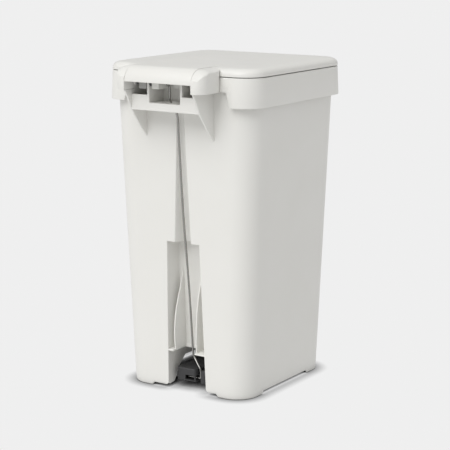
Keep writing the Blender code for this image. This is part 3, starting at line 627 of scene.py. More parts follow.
# ---- rim band and bag ring ----------------------------------------------------------------------
def make_band():
    """The collar round the top: a wall, a rounded edge and a lip that turns down inside the mouth."""
    low, top = BAND_FOOT, BAND_HEAD
    edge = BAND_EDGE_R
    lip_back = LIP_INSET - LIP_WALL
    profile = [(0.0008, low), (0.0002, low + 0.0003), (0.0, low + 0.0010)]
    profile += [(edge * (1 - math.sin(a)), top - edge * (1 - math.cos(a)))
                for a in [math.radians(90 - 90 * k / 5) for k in range(6)]]
    profile += [(LIP_INSET - 0.0008, top), (LIP_INSET, top - 0.0008), (LIP_INSET, LIP_LOW),
                (lip_back, LIP_LOW), (lip_back, top - LIP_SKIN), (BAND_WALL, top - LIP_SKIN),
                (BAND_WALL, low)]
    loops = [rounded_loop(band_outline(z), z, inset) for inset, z in profile]
    band = stack("moulded_rim_band", loops, closed=True)
    wide = NOTCH_FOOT
    narrow, high = NOTCH_HEAD
    step = 0.0975
    right = [(wide + 0.003, low - 0.01), (wide, low), (narrow, high), (step, high),
             (step, high + 0.0006)]
    notch = right + [(-x, z) for x, z in reversed(right)]
    notch = notch[-1:] + notch[:-1]
    cut(band, prism("band_notch", rounded(notch, 0.0030), "y", 0.1600, 0.1750))
    soften(band, 0.0006, lambda at, edge: at.y > 0.15 and abs(at.x) < 0.121 and at.z < 0.5760, 2, 50)
    settle(band, FINISHES["shell"], "frame", "shell_plastic", "rim_band")


def make_bag_ring():
    """The loose ring inside the mouth that holds a bag's edge."""
    low, high = 0.5700, 0.5895
    edge = 0.0006
    outer = LIP_INSET + 2 * GAP
    inner = outer + 0.0022
    outline = band_outline(0.585)
    profile = [(outer, low + 0.0004), (outer, high - edge), (outer + edge, high),
               (inner - edge, high), (inner, high - edge), (inner, low + 0.0004),
               (inner - edge, low), (outer + edge, low)]
    loops = [rounded_loop(outline, z, inset) for inset, z in profile]
    ring = stack("moulded_bag_ring", loops, closed=True)
    settle(ring, FINISHES["inner"], "frame", "inner_plastic", "bag_ring")


# ---- hinge covers -------------------------------------------------------------------------------
def nose_plan(grow):
    """The covers' plan on the +X side, grown all round: a rounded nose and a big rear corner."""
    inner = COVER_IN - grow
    outer = COVER_OUT + grow
    nose_r = (outer - inner) / 2
    middle = (inner + outer) / 2
    tip = COVER_TIP - grow
    corner_r = COVER_CORNER_R + grow
    back = COVER_BACK + grow
    plan = arc((middle, tip + nose_r), nose_r, 180, 360, NOSE_STEPS)
    plan += arc((outer - corner_r, back - corner_r), corner_r, 0, 90, 14)
    return plan + [(inner, back)]


def mirrored(outline, sign):
    """An outline on the +X side for sign 1, and on the other side for -1."""
    return [(sign * x, y) for x, y in outline]


def cover_crown(sink):
    """The cover's top from back to front, sunk by this much under the lid flap's round."""
    radius = FLAP_R - 0.0005
    top = AXIS.z + radius - sink
    crown = [(COVER_BACK, 0.5900), (COVER_BACK, 0.5960)]
    for turn in (22, 32, 42, 52, 62, 72, 82):
        a = math.radians(turn)
        drop = sink * math.sin(a) ** 0.5
        crown.append((AXIS.y + (radius + 0.0006) * math.cos(a), AXIS.z + radius * math.sin(a) - drop))
    return smooth_line(crown + [(0.1930, top), (0.1850, top), (0.1720, top + sink * 0.3),
                                (0.1600, top + sink * 0.5)], 4)


def make_cover(side, sign):
    """A hollow cap over the hinge axle's end: crowned, and lower towards its outer side."""
    stations = [(COVER_IN, 0.0004), (COVER_IN + 0.004, 0.0006), (COVER_IN + 0.010, 0.0013),
                (COVER_IN + 0.016, 0.0024), (COVER_IN + 0.021, 0.0040), (COVER_OUT, 0.0066)]
    loops = []
    for x, sink in stations:
        profile = [(0.1600, COVER_LOW), (COVER_BACK, COVER_LOW)] + cover_crown(sink)
        loops.append([(sign * x, y, z) for y, z in profile])
    cover = stack(f"moulded_hinge_cover_{side}", loops)
    plan = prism("plan", mirrored(nose_plan(-0.00005), sign), "z", 0.56, 0.63)
    combine(cover, "INTERSECT", plan)
    neck = box("neck_cut", (-0.2, 0.2), (0.10, COVER_NECK), (0.56, BAND_HEAD + 2 * GAP))
    cut(cover, neck)
    inner_x = COVER_IN + 0.0004
    soften(cover, 0.0032, lambda at, edge: at.z > 0.598 and abs(at.x) > inner_x, 6, 30)
    soften(cover, 0.0005, lambda at, edge: at.z < 0.600 or abs(at.x) < inner_x, 2, 50)
    inner = [(y, COVER_LOW - 0.01) for y in COVER_HOLLOW_Y] + COVER_HOLLOW_TOP
    low, high = sorted(sign * x for x in COVER_HOLLOW)
    cut(cover, prism("hollow", inner, "x", low, high),
        solid_disc("bore", "x", (AXIS.y, AXIS.z), BORE_R, *sorted((sign * 0.070, sign * 0.0776))))
    settle(cover, FINISHES["shell"], "frame", "shell_plastic", f"hinge_cover_{side}", sharp=40)


# ---- lid ----------------------------------------------------------------------------------------
# The lid's brow keeps its height behind the flap and falls away beyond the hinge covers.
BROW_SIDE = [0.088 + 0.004 * k for k in range(8)]
BROW_STATIONS = [-x for x in reversed(BROW_SIDE)] + BROW_SIDE
BROW_FALL = 0.0085
SHOULDER = (0.0180, 0.0124)        # the rounded shoulder's width and height
LID_EDGE = 0.0022                  # upright edge under the shoulder
DOME_RISE = 0.0022                 # how far the middle stands above the shoulder
DOME_SHARES = (0.96, 0.9, 0.82, 0.7, 0.55, 0.38, 0.2, 0.06)


def dome_loops(outline, base, skin):
    """The lid's crown: straight edge, rounded shoulder, then a shallow dome."""
    width, height = SHOULDER
    loops = [rounded_loop(outline, base - 0.012, skin), rounded_loop(outline, base + LID_EDGE, skin)]
    for k in range(1, 9):
        turn = math.radians(90 * k / 8)
        inset = width * (1 - math.cos(turn))
        z = base + LID_EDGE + height * math.sin(turn) ** 0.9
        loops.append(rounded_loop(outline, z - skin, inset + skin))
    rim = loops[-1]
    for share in DOME_SHARES:
        z = base + LID_EDGE + height + DOME_RISE * (1 - share ** 2) - skin
        loops.append([Vector((p.x * share, p.y * share, z)) for p in rim])
    return loops


def on_nose(at):
    """Whether a point of the lid lies on the cut round a hinge cover."""
    nose = nose_plan(COVER_PLAY)[:NOSE_STEPS + 1]
    x = abs(at.x)
    near = min((Vector((x, at.y)) - Vector(p)).length for p in smooth_line(nose, 3))
    return near < 0.0008 and at.z > LID_BASE + 0.001


def make_lid():
    """The domed lid with its brow, the flap rolled down over the hinge, and two eyes for the axle."""
    outline = band_outline(BAND_HEAD)
    lid = stack("moulded_lid", dome_loops(outline, LID_BASE, 0.0))
    centre = (AXIS.y, AXIS.z)
    inner_r = FLAP_R - LID_SKIN
    top = AXIS.z + FLAP_R
    start = 0.1100
    flap = [(start, top - 0.010), (start, top)]
    flap += arc(centre, FLAP_R, 90, 4, 20)
    flap += [(AXIS.y + FLAP_R - 0.012, AXIS.z + 0.0021)]
    sheet = prism("lid_flap", flap, "x", -FLAP_SPAN, FLAP_SPAN)
    soften(sheet, 0.0007, lambda at, edge: abs(at.x) > FLAP_SPAN - 0.0001 and at.z > AXIS.z + 0.003,
           4, 60)
    crest = smooth_line([(0.1560, top - 0.0008), (0.1618, top - 0.0020), (0.1650, top - 0.0056),
                         (0.1657, top - 0.0130)], 4)
    edge = [(start, top - 0.0200), (start, top - 0.0008)] + crest
    loops = []
    for x in BROW_STATIONS:
        fall = BROW_FALL * smooth_step(BROW_SIDE[0], BROW_SIDE[-1], abs(x))
        loops.append([(x, y, z - fall) for y, z in edge])
    join(lid, stack("lid_brow", loops), sheet)
    plan = [(max(x, FLAP_SPAN), y if y < 0.22 else 0.26) for x, y in nose_plan(COVER_PLAY)]
    for sign in (1, -1):
        cut(lid, prism("nose", mirrored(plan, sign), "z", 0.560, 0.640))
    soften(lid, 0.0016, lambda at, edge: on_nose(at), 4, 40)
    hollow = stack("hollow", dome_loops(outline, LID_BASE, LID_SKIN))
    under = [(0.1530, LID_BASE - 0.012), (0.1530, AXIS.z + inner_r), (AXIS.y, AXIS.z + inner_r)]
    under += arc(centre, inner_r, 90, -10, 16) + [(0.2230, LID_BASE - 0.030)]
    span = FLAP_SPAN - LID_SKIN * 0.9
    cut(lid, box("below", (-0.2, 0.2), (-0.2, 0.1750), (0.55, LID_BASE)), hollow,
        prism("flap_hollow", under, "x", -span, span))
    eye = arc(centre, 0.0065, 180, 360, 12)
    eye += [(AXIS.y + 0.0120, AXIS.z + 0.0100), (AXIS.y + 0.0120, AXIS.z + 0.0262),
            (AXIS.y - 0.0200, AXIS.z + inner_r + 0.001), (AXIS.y - 0.0120, AXIS.z + 0.0100)]
    for sign in (1, -1):
        low, high = sorted((sign * 0.0655, sign * 0.0690))
        web = prism("eye", eye, "x", low, high)
        cut(web, solid_disc("bore", "x", centre, BORE_R, low - 0.01, high + 0.01))
        join(lid, web)
    settle(lid, FINISHES["shell"], "lid", "shell_plastic", "lid_shell", sharp=28)


def make_liner():
    """The lid's flat inner panel, with a lip round it and three raised beads."""
    outline = band_outline(BAND_HEAD)
    low = LID_BASE + 0.0012
    inset = 0.0105
    edge = 0.0006
    lip_low = 0.5935

    def ring(name, profile):
        return stack(name, [rounded_loop(outline, z, i) for i, z in profile], closed=True)

    profile = ((inset + edge, low), (inset, low + edge), (inset, low + 0.0014),
               (inset + edge, low + 0.002))
    plate = stack("moulded_lid_liner", [rounded_loop(outline, z, i) for i, z in profile])
    join(plate, ring("liner_lip", (
        (0.0200, low + 0.0005), (0.0200, lip_low + edge), (0.0206, lip_low), (0.0216, lip_low),
        (0.0222, lip_low + edge), (0.0222, low + 0.0005))))
    for k in range(3):
        start = 0.050 + 0.030 * k
        join(plate, ring("liner_bead", (
            (start, low + edge), (start + 0.0004, low - edge), (start + 0.0016, low - edge),
            (start + 0.0020, low + edge))))
    cut(plate, box("rear_trim", (-0.20, 0.20), (0.1500, 0.2000), (0.58, 0.63)))
    settle(plate, FINISHES["inner"], "lid", "inner_plastic", "lid_liner")


# ---- linkage ------------------------------------------------------------------------------------
def rod_route():
    """The push rod's middle line, from its hook in the crank to its bar in the lever."""
    foot_y, foot_z = ROD_FOOT
    foot_x = -0.0225
    top_x = 0.0087
    crank_y, crank_z = CRANK_PIN
    corners = [
        (0.0262, crank_y, crank_z), (top_x, crank_y, crank_z),
        (top_x, 0.1735, 0.5520), (0.0, 0.1622, 0.5290), (0.0, 0.1575, 0.4700),
        (0.0, 0.1510, 0.3960), (0.0, 0.1435, 0.3200), (0.0, 0.1330, 0.2420),
        (0.0, 0.1250, 0.1720), (0.0, 0.1170, 0.0860), (0.0, 0.1155, 0.0640),
        (foot_x, foot_y, 0.0390), (foot_x, foot_y, foot_z), (0.0320, foot_y, foot_z),
    ]
    bends = [0, 0.004, 0.010, 0.012, 0.05, 0.05, 0.05, 0.05, 0.05, 0.012, 0.009, 0.006, 0.004, 0]
    corners = [Vector(c) for c in corners]
    route = [corners[0]]
    for before, at, after, bend in zip(corners, corners[1:], corners[2:], bends[1:]):
        reach = min(bend, (at - before).length * 0.48, (after - at).length * 0.48)
        start = at + (before - at).normalized() * reach
        end = at + (after - at).normalized() * reach
        for k in range(9):
            t = k / 8
            route.append(start * (1 - t) ** 2 + at * 2 * t * (1 - t) + end * t ** 2)
    route.append(corners[-1])
    return route


def make_rod():
    """The bent wire, and the two spring clips that hold its ends."""
    line = bpy.data.curves.new("rod_line", "CURVE")
    line.dimensions = "3D"
    line.bevel_depth = ROD_R
    line.bevel_resolution = 6
    line.use_fill_caps = True
    route = rod_route()
    spline = line.splines.new("POLY")
    spline.points.add(len(route) - 1)
    for point, place in zip(spline.points, route):
        point.co = (*place, 1.0)
    curve = bpy.data.objects.new("rod_line", line)
    bpy.context.scene.collection.objects.link(curve)
    graph = bpy.context.evaluated_depsgraph_get()
    mesh = bpy.data.meshes.new_from_object(curve.evaluated_get(graph))
    bpy.data.objects.remove(curve, do_unlink=True)
    rod = bpy.data.objects.new("bent_push_rod", mesh)
    bpy.context.scene.collection.objects.link(rod)
    settle(rod, FINISHES["steel"], "push_rod", "bright_steel", "push_rod", sharp=50)
    for node, centre in (("rod_clip_top", CRANK_PIN), ("rod_clip_foot", ROD_FOOT)):
        low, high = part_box(node)
        clip = ring_disc(f"pressed_{node}", "x", centre, ROD_R + 0.0002, 0.0050, low.x, high.x)
        settle(clip, FINISHES["zinc"], "push_rod", "zinc_steel", node)


def make_axles():
    """The lid's and the pedal's axle, each with a spring clip on both ends."""
    for node in ("hinge_axle", "pedal_axle"):
        low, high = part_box(node)
        middle = node_middle(node)
        radius = (high.z - low.z) / 2
        rod = solid_disc(f"turned_{node}", "x", (middle.y, middle.z), radius, low.x, high.x)
        settle(rod, FINISHES["steel"], "frame", "bright_steel", node)
    for stem, inner in (("axle_clip", BORE_R), ("pedal_axle_clip", PEDAL_BORE_R)):
        for node in (f"{stem}_left", f"{stem}_right"):
            low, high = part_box(node)
            middle = node_middle(node)
            outer = (high.z - low.z) / 2
            clip = ring_disc(f"pressed_{node}", "x", (middle.y, middle.z), inner, outer, low.x,
                             high.x)
            settle(clip, FINISHES["zinc"], "frame", "zinc_steel", node)


def make_crank():
    """The block under the flap that turns with the lid and pulls on the rod's hook."""
    top = AXIS.z + FLAP_R - LID_SKIN - GAP
    hub = rounded([(0.2000, 0.5752), (0.2000, 0.6000), (0.1990, top), (0.1830, top),
                   (0.1780, 0.5960), (0.1690, 0.5880), (0.1685, 0.5790), (0.1740, 0.5752)], 0.0025)
    crank = soften(prism("moulded_crank", hub, "x", 0.0145, 0.0300), 0.0006, None, 3, 60)
    flange = soften(box("flange", (0.0000, 0.0160), (0.1832, 0.1988), (top - 0.0035, top)), 0.0005,
                    None, 2, 60)
    join(crank, flange)
    cut(crank, box("relief", (0.0220, 0.0310), (0.1600, 0.1840), (0.5700, 0.6000)),
        solid_disc("bore", "x", (AXIS.y, AXIS.z), BORE_R, 0.010, 0.034),
        solid_disc("pin_hole", "x", CRANK_PIN, BORE_R, 0.010, 0.030))
    for node in ("crank_screw_rear", "crank_screw_front"):
        cut(crank, solid_disc("clear", "z", node_middle(node).xy, 0.0016, 0.600, 0.620))
    settle(crank, FINISHES["acetal"], "lid", "white_plastic", "lid_crank")


def make_damper():
    """The soft-close damper: its housing on the rib, and the rotor that the lid turns."""
    centre = (AXIS.y, AXIS.z)
    housing = soften(box("moulded_damper", (0.0400, 0.0565), (0.1840, 0.2030), (0.5750, 0.5990)),
                     0.0012, None, 3, 60)
    ears = rounded([(0.1715, 0.5770), (0.1900, 0.5770), (0.1900, 0.5950), (0.1715, 0.5950)], 0.003)
    ears = soften(prism("ears", ears, "x", 0.0386, 0.0412), 0.0003, None, 2, 60)
    join(housing, ears)
    cut(housing, solid_disc("bore", "x", centre, DAMPER_BARREL_R + GAP, 0.030, 0.060))
    for node in ("damper_screw_top", "damper_screw_low"):
        cut(housing, solid_disc("clear", "x", node_middle(node).yz, 0.0018, 0.036, 0.043))
    settle(housing, FINISHES["grey_acetal"], "frame", "grey_plastic", "damper_housing")
    rotor = ring_disc("moulded_rotor", "x", centre, BORE_R, DAMPER_BARREL_R, 0.0303, 0.0575)
    join(rotor, ring_disc("drive", "x", centre, 0.0024, 0.0075, 0.0303, 0.0333))
    settle(rotor, FINISHES["nylon"], "lid", "black_plastic", "damper_rotor")


def make_lever():
    """One moulded lever, hollow below, from the pedal at the front to the rod's slot."""
    side = rounded([
        (-0.1762, 0.0335), (-0.1300, 0.0300), (-0.1000, 0.0220), (-0.0445, 0.0200),
        (0.0900, 0.0165), (0.1310, 0.0160), (0.1310, 0.0410), (0.0600, 0.0385),
        (-0.0445, 0.0420), (-0.1100, 0.0430), (-0.1350, 0.0440), (-0.1762, 0.0390)], 0.0035)
    lever = prism("moulded_lever", side, "x", -0.0500, 0.0500)
    plan = rounded([(0.0280, 0.1320), (0.0280, 0.0600), (0.0220, 0.0200), (0.0220, -0.1200),
                    (0.0500, -0.1300), (0.0500, -0.1764), (-0.0500, -0.1764), (-0.0500, -0.1300),
                    (-0.0220, -0.1200), (-0.0220, 0.0200), (-0.0165, 0.0600), (-0.0165, 0.1320)],
                   0.0100)
    combine(lever, "INTERSECT", prism("plan", plan, "z", -0.01, 0.06))
    soften(lever, 0.0012, lambda at, edge: True, 3, 50)
    cheek = rounded([(0.0560, 0.0175), (0.1310, 0.0160), (0.1310, 0.0405), (0.0560, 0.0380)], 0.002)
    cheek = prism("cheek", cheek, "x", -0.0380, -0.0275)
    bridge = box("bridge", (-0.0300, -0.0150), (0.0570, 0.0960), (0.0180, 0.0290))
    join(lever, soften(cheek, 0.0006, None, 2, 60), soften(bridge, 0.0006, None, 2, 60))
    foot_y, foot_z = ROD_FOOT
    rear = [(0.1150, -0.0100), (0.1150, 0.0375), (0.0600, 0.0355), (-0.0300, 0.0385),
            (-0.0300, -0.0100)]
    front = [(-0.1100, -0.01), (-0.0590, -0.01), (-0.0590, 0.0385), (-0.1100, 0.0395)]
    window = rounded([(-0.0125, foot_z - 0.0046), (0.0075, foot_z - 0.0046),
                      (0.0075, foot_z + 0.0044), (-0.0125, foot_z + 0.0044)], 0.0012)
    cut(lever,
        prism("rear_hollow", rear, "x", -0.0138, 0.0192),
        prism("front_hollow", front, "x", -0.0192, 0.0192),
        box("bar_slot", (-0.0190, 0.0290), (foot_y - 0.0066, foot_y + 0.0056),
            (foot_z - 0.0046, foot_z + 0.0058)),
        prism("bar_window", window, "y", 0.1260, 0.1400),
        solid_disc("bore", "x", (PEDAL_AXIS.y, PEDAL_AXIS.z), PEDAL_BORE_R, -0.06, 0.06))
    settle(lever, FINISHES["nylon"], "pedal", "black_plastic", "pedal_lever")


def make_bearings():
    """Two bearing blocks screwed under the bin's floor, either side of the lever."""
    centre = (PEDAL_AXIS.y, PEDAL_AXIS.z)
    cheek_r = 0.0080
    reach = 0.020
    inner, cheek_out, flange_out = 0.0230, 0.0310, 0.0420
    seat = FLOOR_LOW - GAP
    for side, sign in (("left", 1), ("right", -1)):
        cheek = arc(centre, cheek_r, 180, 360, 16)
        cheek += [(centre[0] + cheek_r, seat), (centre[0] - cheek_r, seat)]
        low, high = sorted((sign * inner, sign * cheek_out))
        block = soften(prism(f"moulded_bearing_{side}", cheek, "x", low, high), 0.0006, None, 2, 60)
        low, high = sorted((sign * inner, sign * flange_out))
        flange = rounded([(low, centre[0] - reach), (high, centre[0] - reach),
                          (high, centre[0] + reach), (low, centre[0] + reach)], 0.003)
        flange = soften(prism("flange", flange, "z", seat - 0.0040, seat), 0.0005, None, 2, 60)
        join(block, flange)
        cut(block, solid_disc("bore", "x", centre, PEDAL_BORE_R, -0.06, 0.06))
        for end in ("rear", "front"):
            at = node_middle(f"bearing_screw_{side}_{end}").xy
            cut(block, solid_disc("clear", "z", at, 0.0019, 0.060, 0.080))
        settle(block, FINISHES["acetal"], "frame", "white_plastic", f"pedal_bearing_{side}")


# ---- repeated pieces, by geometry nodes ---------------------------------------------------------
def node_tree_for(name, inputs):
    """A geometry node tree with named inputs. Returns the tree and its two end nodes."""
    tree = bpy.data.node_groups.new(name, "GeometryNodeTree")
    tree.interface.new_socket("Geometry", in_out="INPUT", socket_type="NodeSocketGeometry")
    for label, kind in inputs:
        tree.interface.new_socket(label, in_out="INPUT", socket_type=kind)
    tree.interface.new_socket("Geometry", in_out="OUTPUT", socket_type="NodeSocketGeometry")
    return tree, tree.nodes.new("NodeGroupInput"), tree.nodes.new("NodeGroupOutput")


def add(tree, kind, settings=None, links=None):
    """Adds one node with its own settings, and values or sources for its input sockets."""
    made = tree.nodes.new(kind)
    for label, value in (settings or {}).items():
        setattr(made, label, value)
    for label, value in (links or {}).items():
        socket = made.inputs[label]
        if isinstance(value, bpy.types.NodeSocket):
            tree.links.new(value, socket)
        else:
            socket.default_value = value
    return made


def repeat(name, template, places, turn, finish):
    """One mesh of a template repeated at places by a node tree, turned by Euler angles."""
    cloud = bpy.data.meshes.new(f"{name}_places")
    cloud.from_pydata([tuple(p) for p in places], [], [])
    holder = bpy.data.objects.new(name, cloud)
    bpy.context.scene.collection.objects.link(holder)
    tree, start, end = node_tree_for(f"{name}_tree", [
        ("Template", "NodeSocketObject"), ("Turn", "NodeSocketRotation"),
        ("Finish", "NodeSocketMaterial")])
    info = add(tree, "GeometryNodeObjectInfo", None, {"Object": start.outputs["Template"]})
    spread = add(tree, "GeometryNodeInstanceOnPoints", None, {
        "Points": start.outputs["Geometry"], "Instance": info.outputs["Geometry"],
        "Rotation": start.outputs["Turn"]})
    real = add(tree, "GeometryNodeRealizeInstances", None, {
        "Geometry": spread.outputs["Instances"]})
    coat = add(tree, "GeometryNodeSetMaterial", None, {
        "Geometry": real.outputs["Geometry"], "Material": start.outputs["Finish"]})
    tree.links.new(coat.outputs["Geometry"], end.inputs["Geometry"])
    step = holder.modifiers.new(name, "NODES")
    step.node_group = tree
    values = {"Template": template, "Turn": turn, "Finish": finish}
    for item in tree.interface.items_tree:
        if item.in_out == "INPUT" and item.name in values:
            step[item.identifier] = values[item.name]
    applied(holder)
    bpy.data.objects.remove(template, do_unlink=True)
    return holder


SCREW_PITCH = 0.0009
SCREW_ROOT = 0.86                  # the thread's root as a share of the shank's radius
AXIS_R = 0.0001                    # where a turned shape closes on its axis


def screw_template(shank_r, head_r, head_high, length):
    """A cross-recessed pan-head screw, point up, with its head's underside at z = 0."""
    root_r = shank_r * SCREW_ROOT
    profile = [(AXIS_R, -head_high), (head_r * 0.55, -head_high), (head_r * 0.85, -head_high * 0.8),
               (head_r, -head_high * 0.4), (head_r, -0.00015), (head_r * 0.95, 0.0), (shank_r, 0.0)]
    for k in range(int(length / SCREW_PITCH) - 1):
        z = SCREW_PITCH * (k + 0.5)
        profile += [(root_r, z), (shank_r, z + SCREW_PITCH * 0.3), (root_r, z + SCREW_PITCH * 0.6)]
    profile += [(root_r, length - 0.0006), (AXIS_R, length)]
    body = turned("screw_template", "z", (0, 0), profile, 28)
    arm = head_r * 0.55
    for x, y in ((arm, arm * 0.26), (arm * 0.26, arm)):
        cut(body, box("recess", (-x, x), (-y, y), (-head_high - 0.001, -head_high * 0.45)))
    body.data.shade_smooth()
    body.data.set_sharp_from_angle(angle=math.radians(40))
    return body


# Each group's body, nodes and (shank radius, head radius, head height), and whether its screws
# lie with the point towards -x instead of standing with the point up.
SCREW_GROUPS = {
    "bearing_screws": ("frame", ["bearing_screw_left_front", "bearing_screw_left_rear",
                                 "bearing_screw_right_front", "bearing_screw_right_rear"],
                       (0.0016, 0.0034, 0.0020), False),
    "damper_screws": ("frame", ["damper_screw_low", "damper_screw_top"],
                      (0.0014, 0.0028, 0.0018), True),
    "crank_screws": ("lid", ["crank_screw_front", "crank_screw_rear"],
                     (0.0012, 0.0028, 0.0018), False),
}


def make_screws():
    """One piece for each group of equal screws."""
    for name, (body, nodes, sizes, lying) in SCREW_GROUPS.items():
        head_high = sizes[-1]
        places = []
        for node in nodes:
            low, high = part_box(node)
            middle = node_middle(node)
            if lying:
                places.append(Vector((high.x - head_high, middle.y, middle.z)))
                length = high.x - low.x - head_high
            else:
                places.append(Vector((middle.x, middle.y, low.z + head_high)))
                length = high.z - low.z - head_high
        turn = (0, math.radians(-90), 0) if lying else (0, 0, 0)
        template = screw_template(*sizes, length)
        piece = repeat(f"pan_head_{name}", template, places, turn, FINISHES["zinc"])
        settle(piece, FINISHES["zinc"], body, "zinc_steel", *nodes, sharp=40)


PAD_NODES = [f"foot_pad_{end}_{side}" for end in ("front", "rear") for side in ("left", "right")]


def make_pads():
    """Four rubber feet with two sunk rings on their underside."""
    low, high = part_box(PAD_NODES[0])
    r = (high.x - low.x) / 2
    top = high.z
    edge = 0.0006
    profile = [(AXIS_R, 0.0)]
    for inner, outer in ((0.0030, 0.0045), (0.0064, 0.0079)):
        profile += [(inner, 0.0), (inner + edge / 2, edge), (outer - edge / 2, edge), (outer, 0.0)]
    profile += [(r - edge, 0.0), (r, edge), (r, top - edge), (r - edge, top), (AXIS_R, top)]
    template = turned("pad_template", "z", (0, 0), profile, 48)
    places = [(*node_middle(node).xy, 0.0) for node in PAD_NODES]
    piece = repeat("moulded_foot_pads", template, places, (0, 0, 0), FINISHES["rubber"])
    settle(piece, FINISHES["rubber"], "frame", "rubber", *PAD_NODES)


def make_tread():
    """The soft pad on the pedal, with raised bars across it."""
    low, high = 0.0444, 0.0402
    front, back = -0.1715, -0.1380
    half = 0.0440
    thick = 0.0018
    side = rounded([(front, high), (back, low), (back, low + thick), (front, high + thick)], 0.0006)
    tread = prism("moulded_tread", side, "x", -half, half)
    plan = [(-half - 0.0001, front - 0.001), (half + 0.0001, front - 0.001),
            (half + 0.0001, back + 0.001), (-half - 0.0001, back + 0.001)]
    combine(tread, "INTERSECT", prism("plan", rounded(plan, 0.010), "z", 0.03, 0.06))
    slope = math.atan2(low - high, back - front)
    bar = [(-0.0012, -0.0006), (0.0012, -0.0006), (0.0009, 0.0014), (-0.0009, 0.0014)]
    template = prism("bar_template", rounded(bar, 0.0004, 3), "x", -0.0390, 0.0390)
    places = []
    for k in range(4):
        y = -0.1660 + 0.0075 * k
        places.append((0.0, y, high + thick + (low - high) * (y - front) / (back - front)))
    bars = repeat("tread_bars", template, places, (slope, 0, 0), FINISHES["rubber"])
    join(tread, bars)
    settle(tread, FINISHES["rubber"], "pedal", "rubber", "pedal_tread")


def make_bumpers():
    """Two rubber buttons under the lid, which meet the rim."""
    for side in ("left", "right"):
        node = f"lid_bumper_{side}"
        low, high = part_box(node)
        bumper = solid_disc(f"moulded_bumper_{side}", "z", node_middle(node).xy,
                            (high.x - low.x) / 2, low.z, high.z, 0.0007, 32)
        settle(bumper, FINISHES["rubber"], "lid", "rubber", node)


# ---- materials ----------------------------------------------------------------------------------
# A mix node's colour sockets, which share their names with its other kinds.
MIX_A = 6
MIX_B = 7
MIX_RESULT = 2


def linear(code):
    """An sRGB hex colour as linear values."""
    parts = [int(code[k:k + 2], 16) / 255 for k in (1, 3, 5)]
    parts = [p / 12.92 if p <= 0.04045 else ((p + 0.055) / 1.055) ** 2.4 for p in parts]
    return (*parts, 1.0)


def per_mm(size):
    """A noise scale whose grains are this many millimetres across, in metres' coordinates."""
    return 1000.0 / size


def grained(name, colours, rough, grain_mm, grain_depth, cloud_mm, ior=1.49, metallic=0.0,
            stretch=(1, 1, 1)):
    """A surface with cloudy colour, cloudy gloss and a fine grain in its relief.

    rough is the range of roughness, and grain_depth is in metres.
    """
    made = bpy.data.materials.new(name)
    made.use_nodes = True
    tree = made.node_tree
    shader = tree.nodes["Principled BSDF"]
    shader.inputs["Metallic"].default_value = metallic
    if not metallic:
        shader.inputs["IOR"].default_value = ior
    where = add(tree, "ShaderNodeTexCoord").outputs["Object"]
    laid = add(tree, "ShaderNodeMapping", None, {"Vector": where, "Scale": stretch})
    cloud = add(tree, "ShaderNodeTexNoise", None, {
        "Vector": laid.outputs["Vector"], "Scale": per_mm(cloud_mm), "Detail": 3.0,
        "Roughness": 0.55})
    grain = add(tree, "ShaderNodeTexNoise", None, {
        "Vector": laid.outputs["Vector"], "Scale": per_mm(grain_mm), "Detail": 2.0,
        "Roughness": 0.6})
    tint = add(tree, "ShaderNodeMix", {"data_type": "RGBA"}, {
        "Factor": cloud.outputs["Fac"], MIX_A: linear(colours[0]), MIX_B: linear(colours[1])})
    tree.links.new(tint.outputs[MIX_RESULT], shader.inputs["Base Color"])
    gloss = add(tree, "ShaderNodeMapRange", None, {
        "Value": cloud.outputs["Fac"], "From Min": 0.3, "From Max": 0.7,
        "To Min": rough[0], "To Max": rough[1]})
    tree.links.new(gloss.outputs["Result"], shader.inputs["Roughness"])
    relief = add(tree, "ShaderNodeBump", None, {
        "Height": grain.outputs["Fac"], "Strength": 1.0, "Distance": grain_depth})
    tree.links.new(relief.outputs["Normal"], shader.inputs["Normal"])
    return made


def make_finishes():
    """Every finish of the bin, by the name its pieces use."""
    return {
        # Moulded in a spark-eroded tool: an even, soft sheen and a grain only seen close up.
        "shell": grained("satin_moulded_polypropylene", ("#E6E5E1", "#E3E2DD"), (0.36, 0.44),
                         0.8, 0.00002, 70),
        # The same resin from a plainer tool: a little duller and darker.
        "inner": grained("matt_moulded_polypropylene", ("#DAD9D4", "#D5D4CE"), (0.46, 0.54),
                         0.9, 0.00003, 50),
        # Natural acetal: whiter, with a waxy gloss.
        "acetal": grained("natural_moulded_acetal", ("#ECECE8", "#E6E6E0"), (0.28, 0.36),
                          0.8, 0.00001, 30, ior=1.48),
        # The same acetal, coloured grey for the damper.
        "grey_acetal": grained("grey_moulded_acetal", ("#A9A9A6", "#A0A09D"), (0.30, 0.38),
                               0.8, 0.00001, 30, ior=1.48),
        # Glass fibre near the surface gives charcoal nylon a mottled, dry look.
        "nylon": grained("glass_filled_moulded_nylon", ("#2A2A2B", "#39393A"), (0.42, 0.60),
                         1.1, 0.00006, 6, ior=1.53),
        # Compression-moulded rubber: matt black that greys where it is handled.
        "rubber": grained("compression_moulded_rubber", ("#1E1E1F", "#2A2A2A"), (0.70, 0.82),
                          0.9, 0.00005, 12, ior=1.52),
        # Wire drawn through a die: bright, with streaks along its length.
        "steel": grained("bright_drawn_steel_wire", ("#A3A29F", "#8E8D8A"), (0.16, 0.26),
                         0.7, 0.00001, 2.5, metallic=1.0, stretch=(1, 1, 0.06)),
        # Zinc plate over pressed steel: a cool grey with a fine crystalline bloom.
        "zinc": grained("bright_zinc_plated_steel", ("#B9BBBC", "#A6A8AA"), (0.26, 0.40),
                        0.6, 0.00001, 3, metallic=1.0),
    }


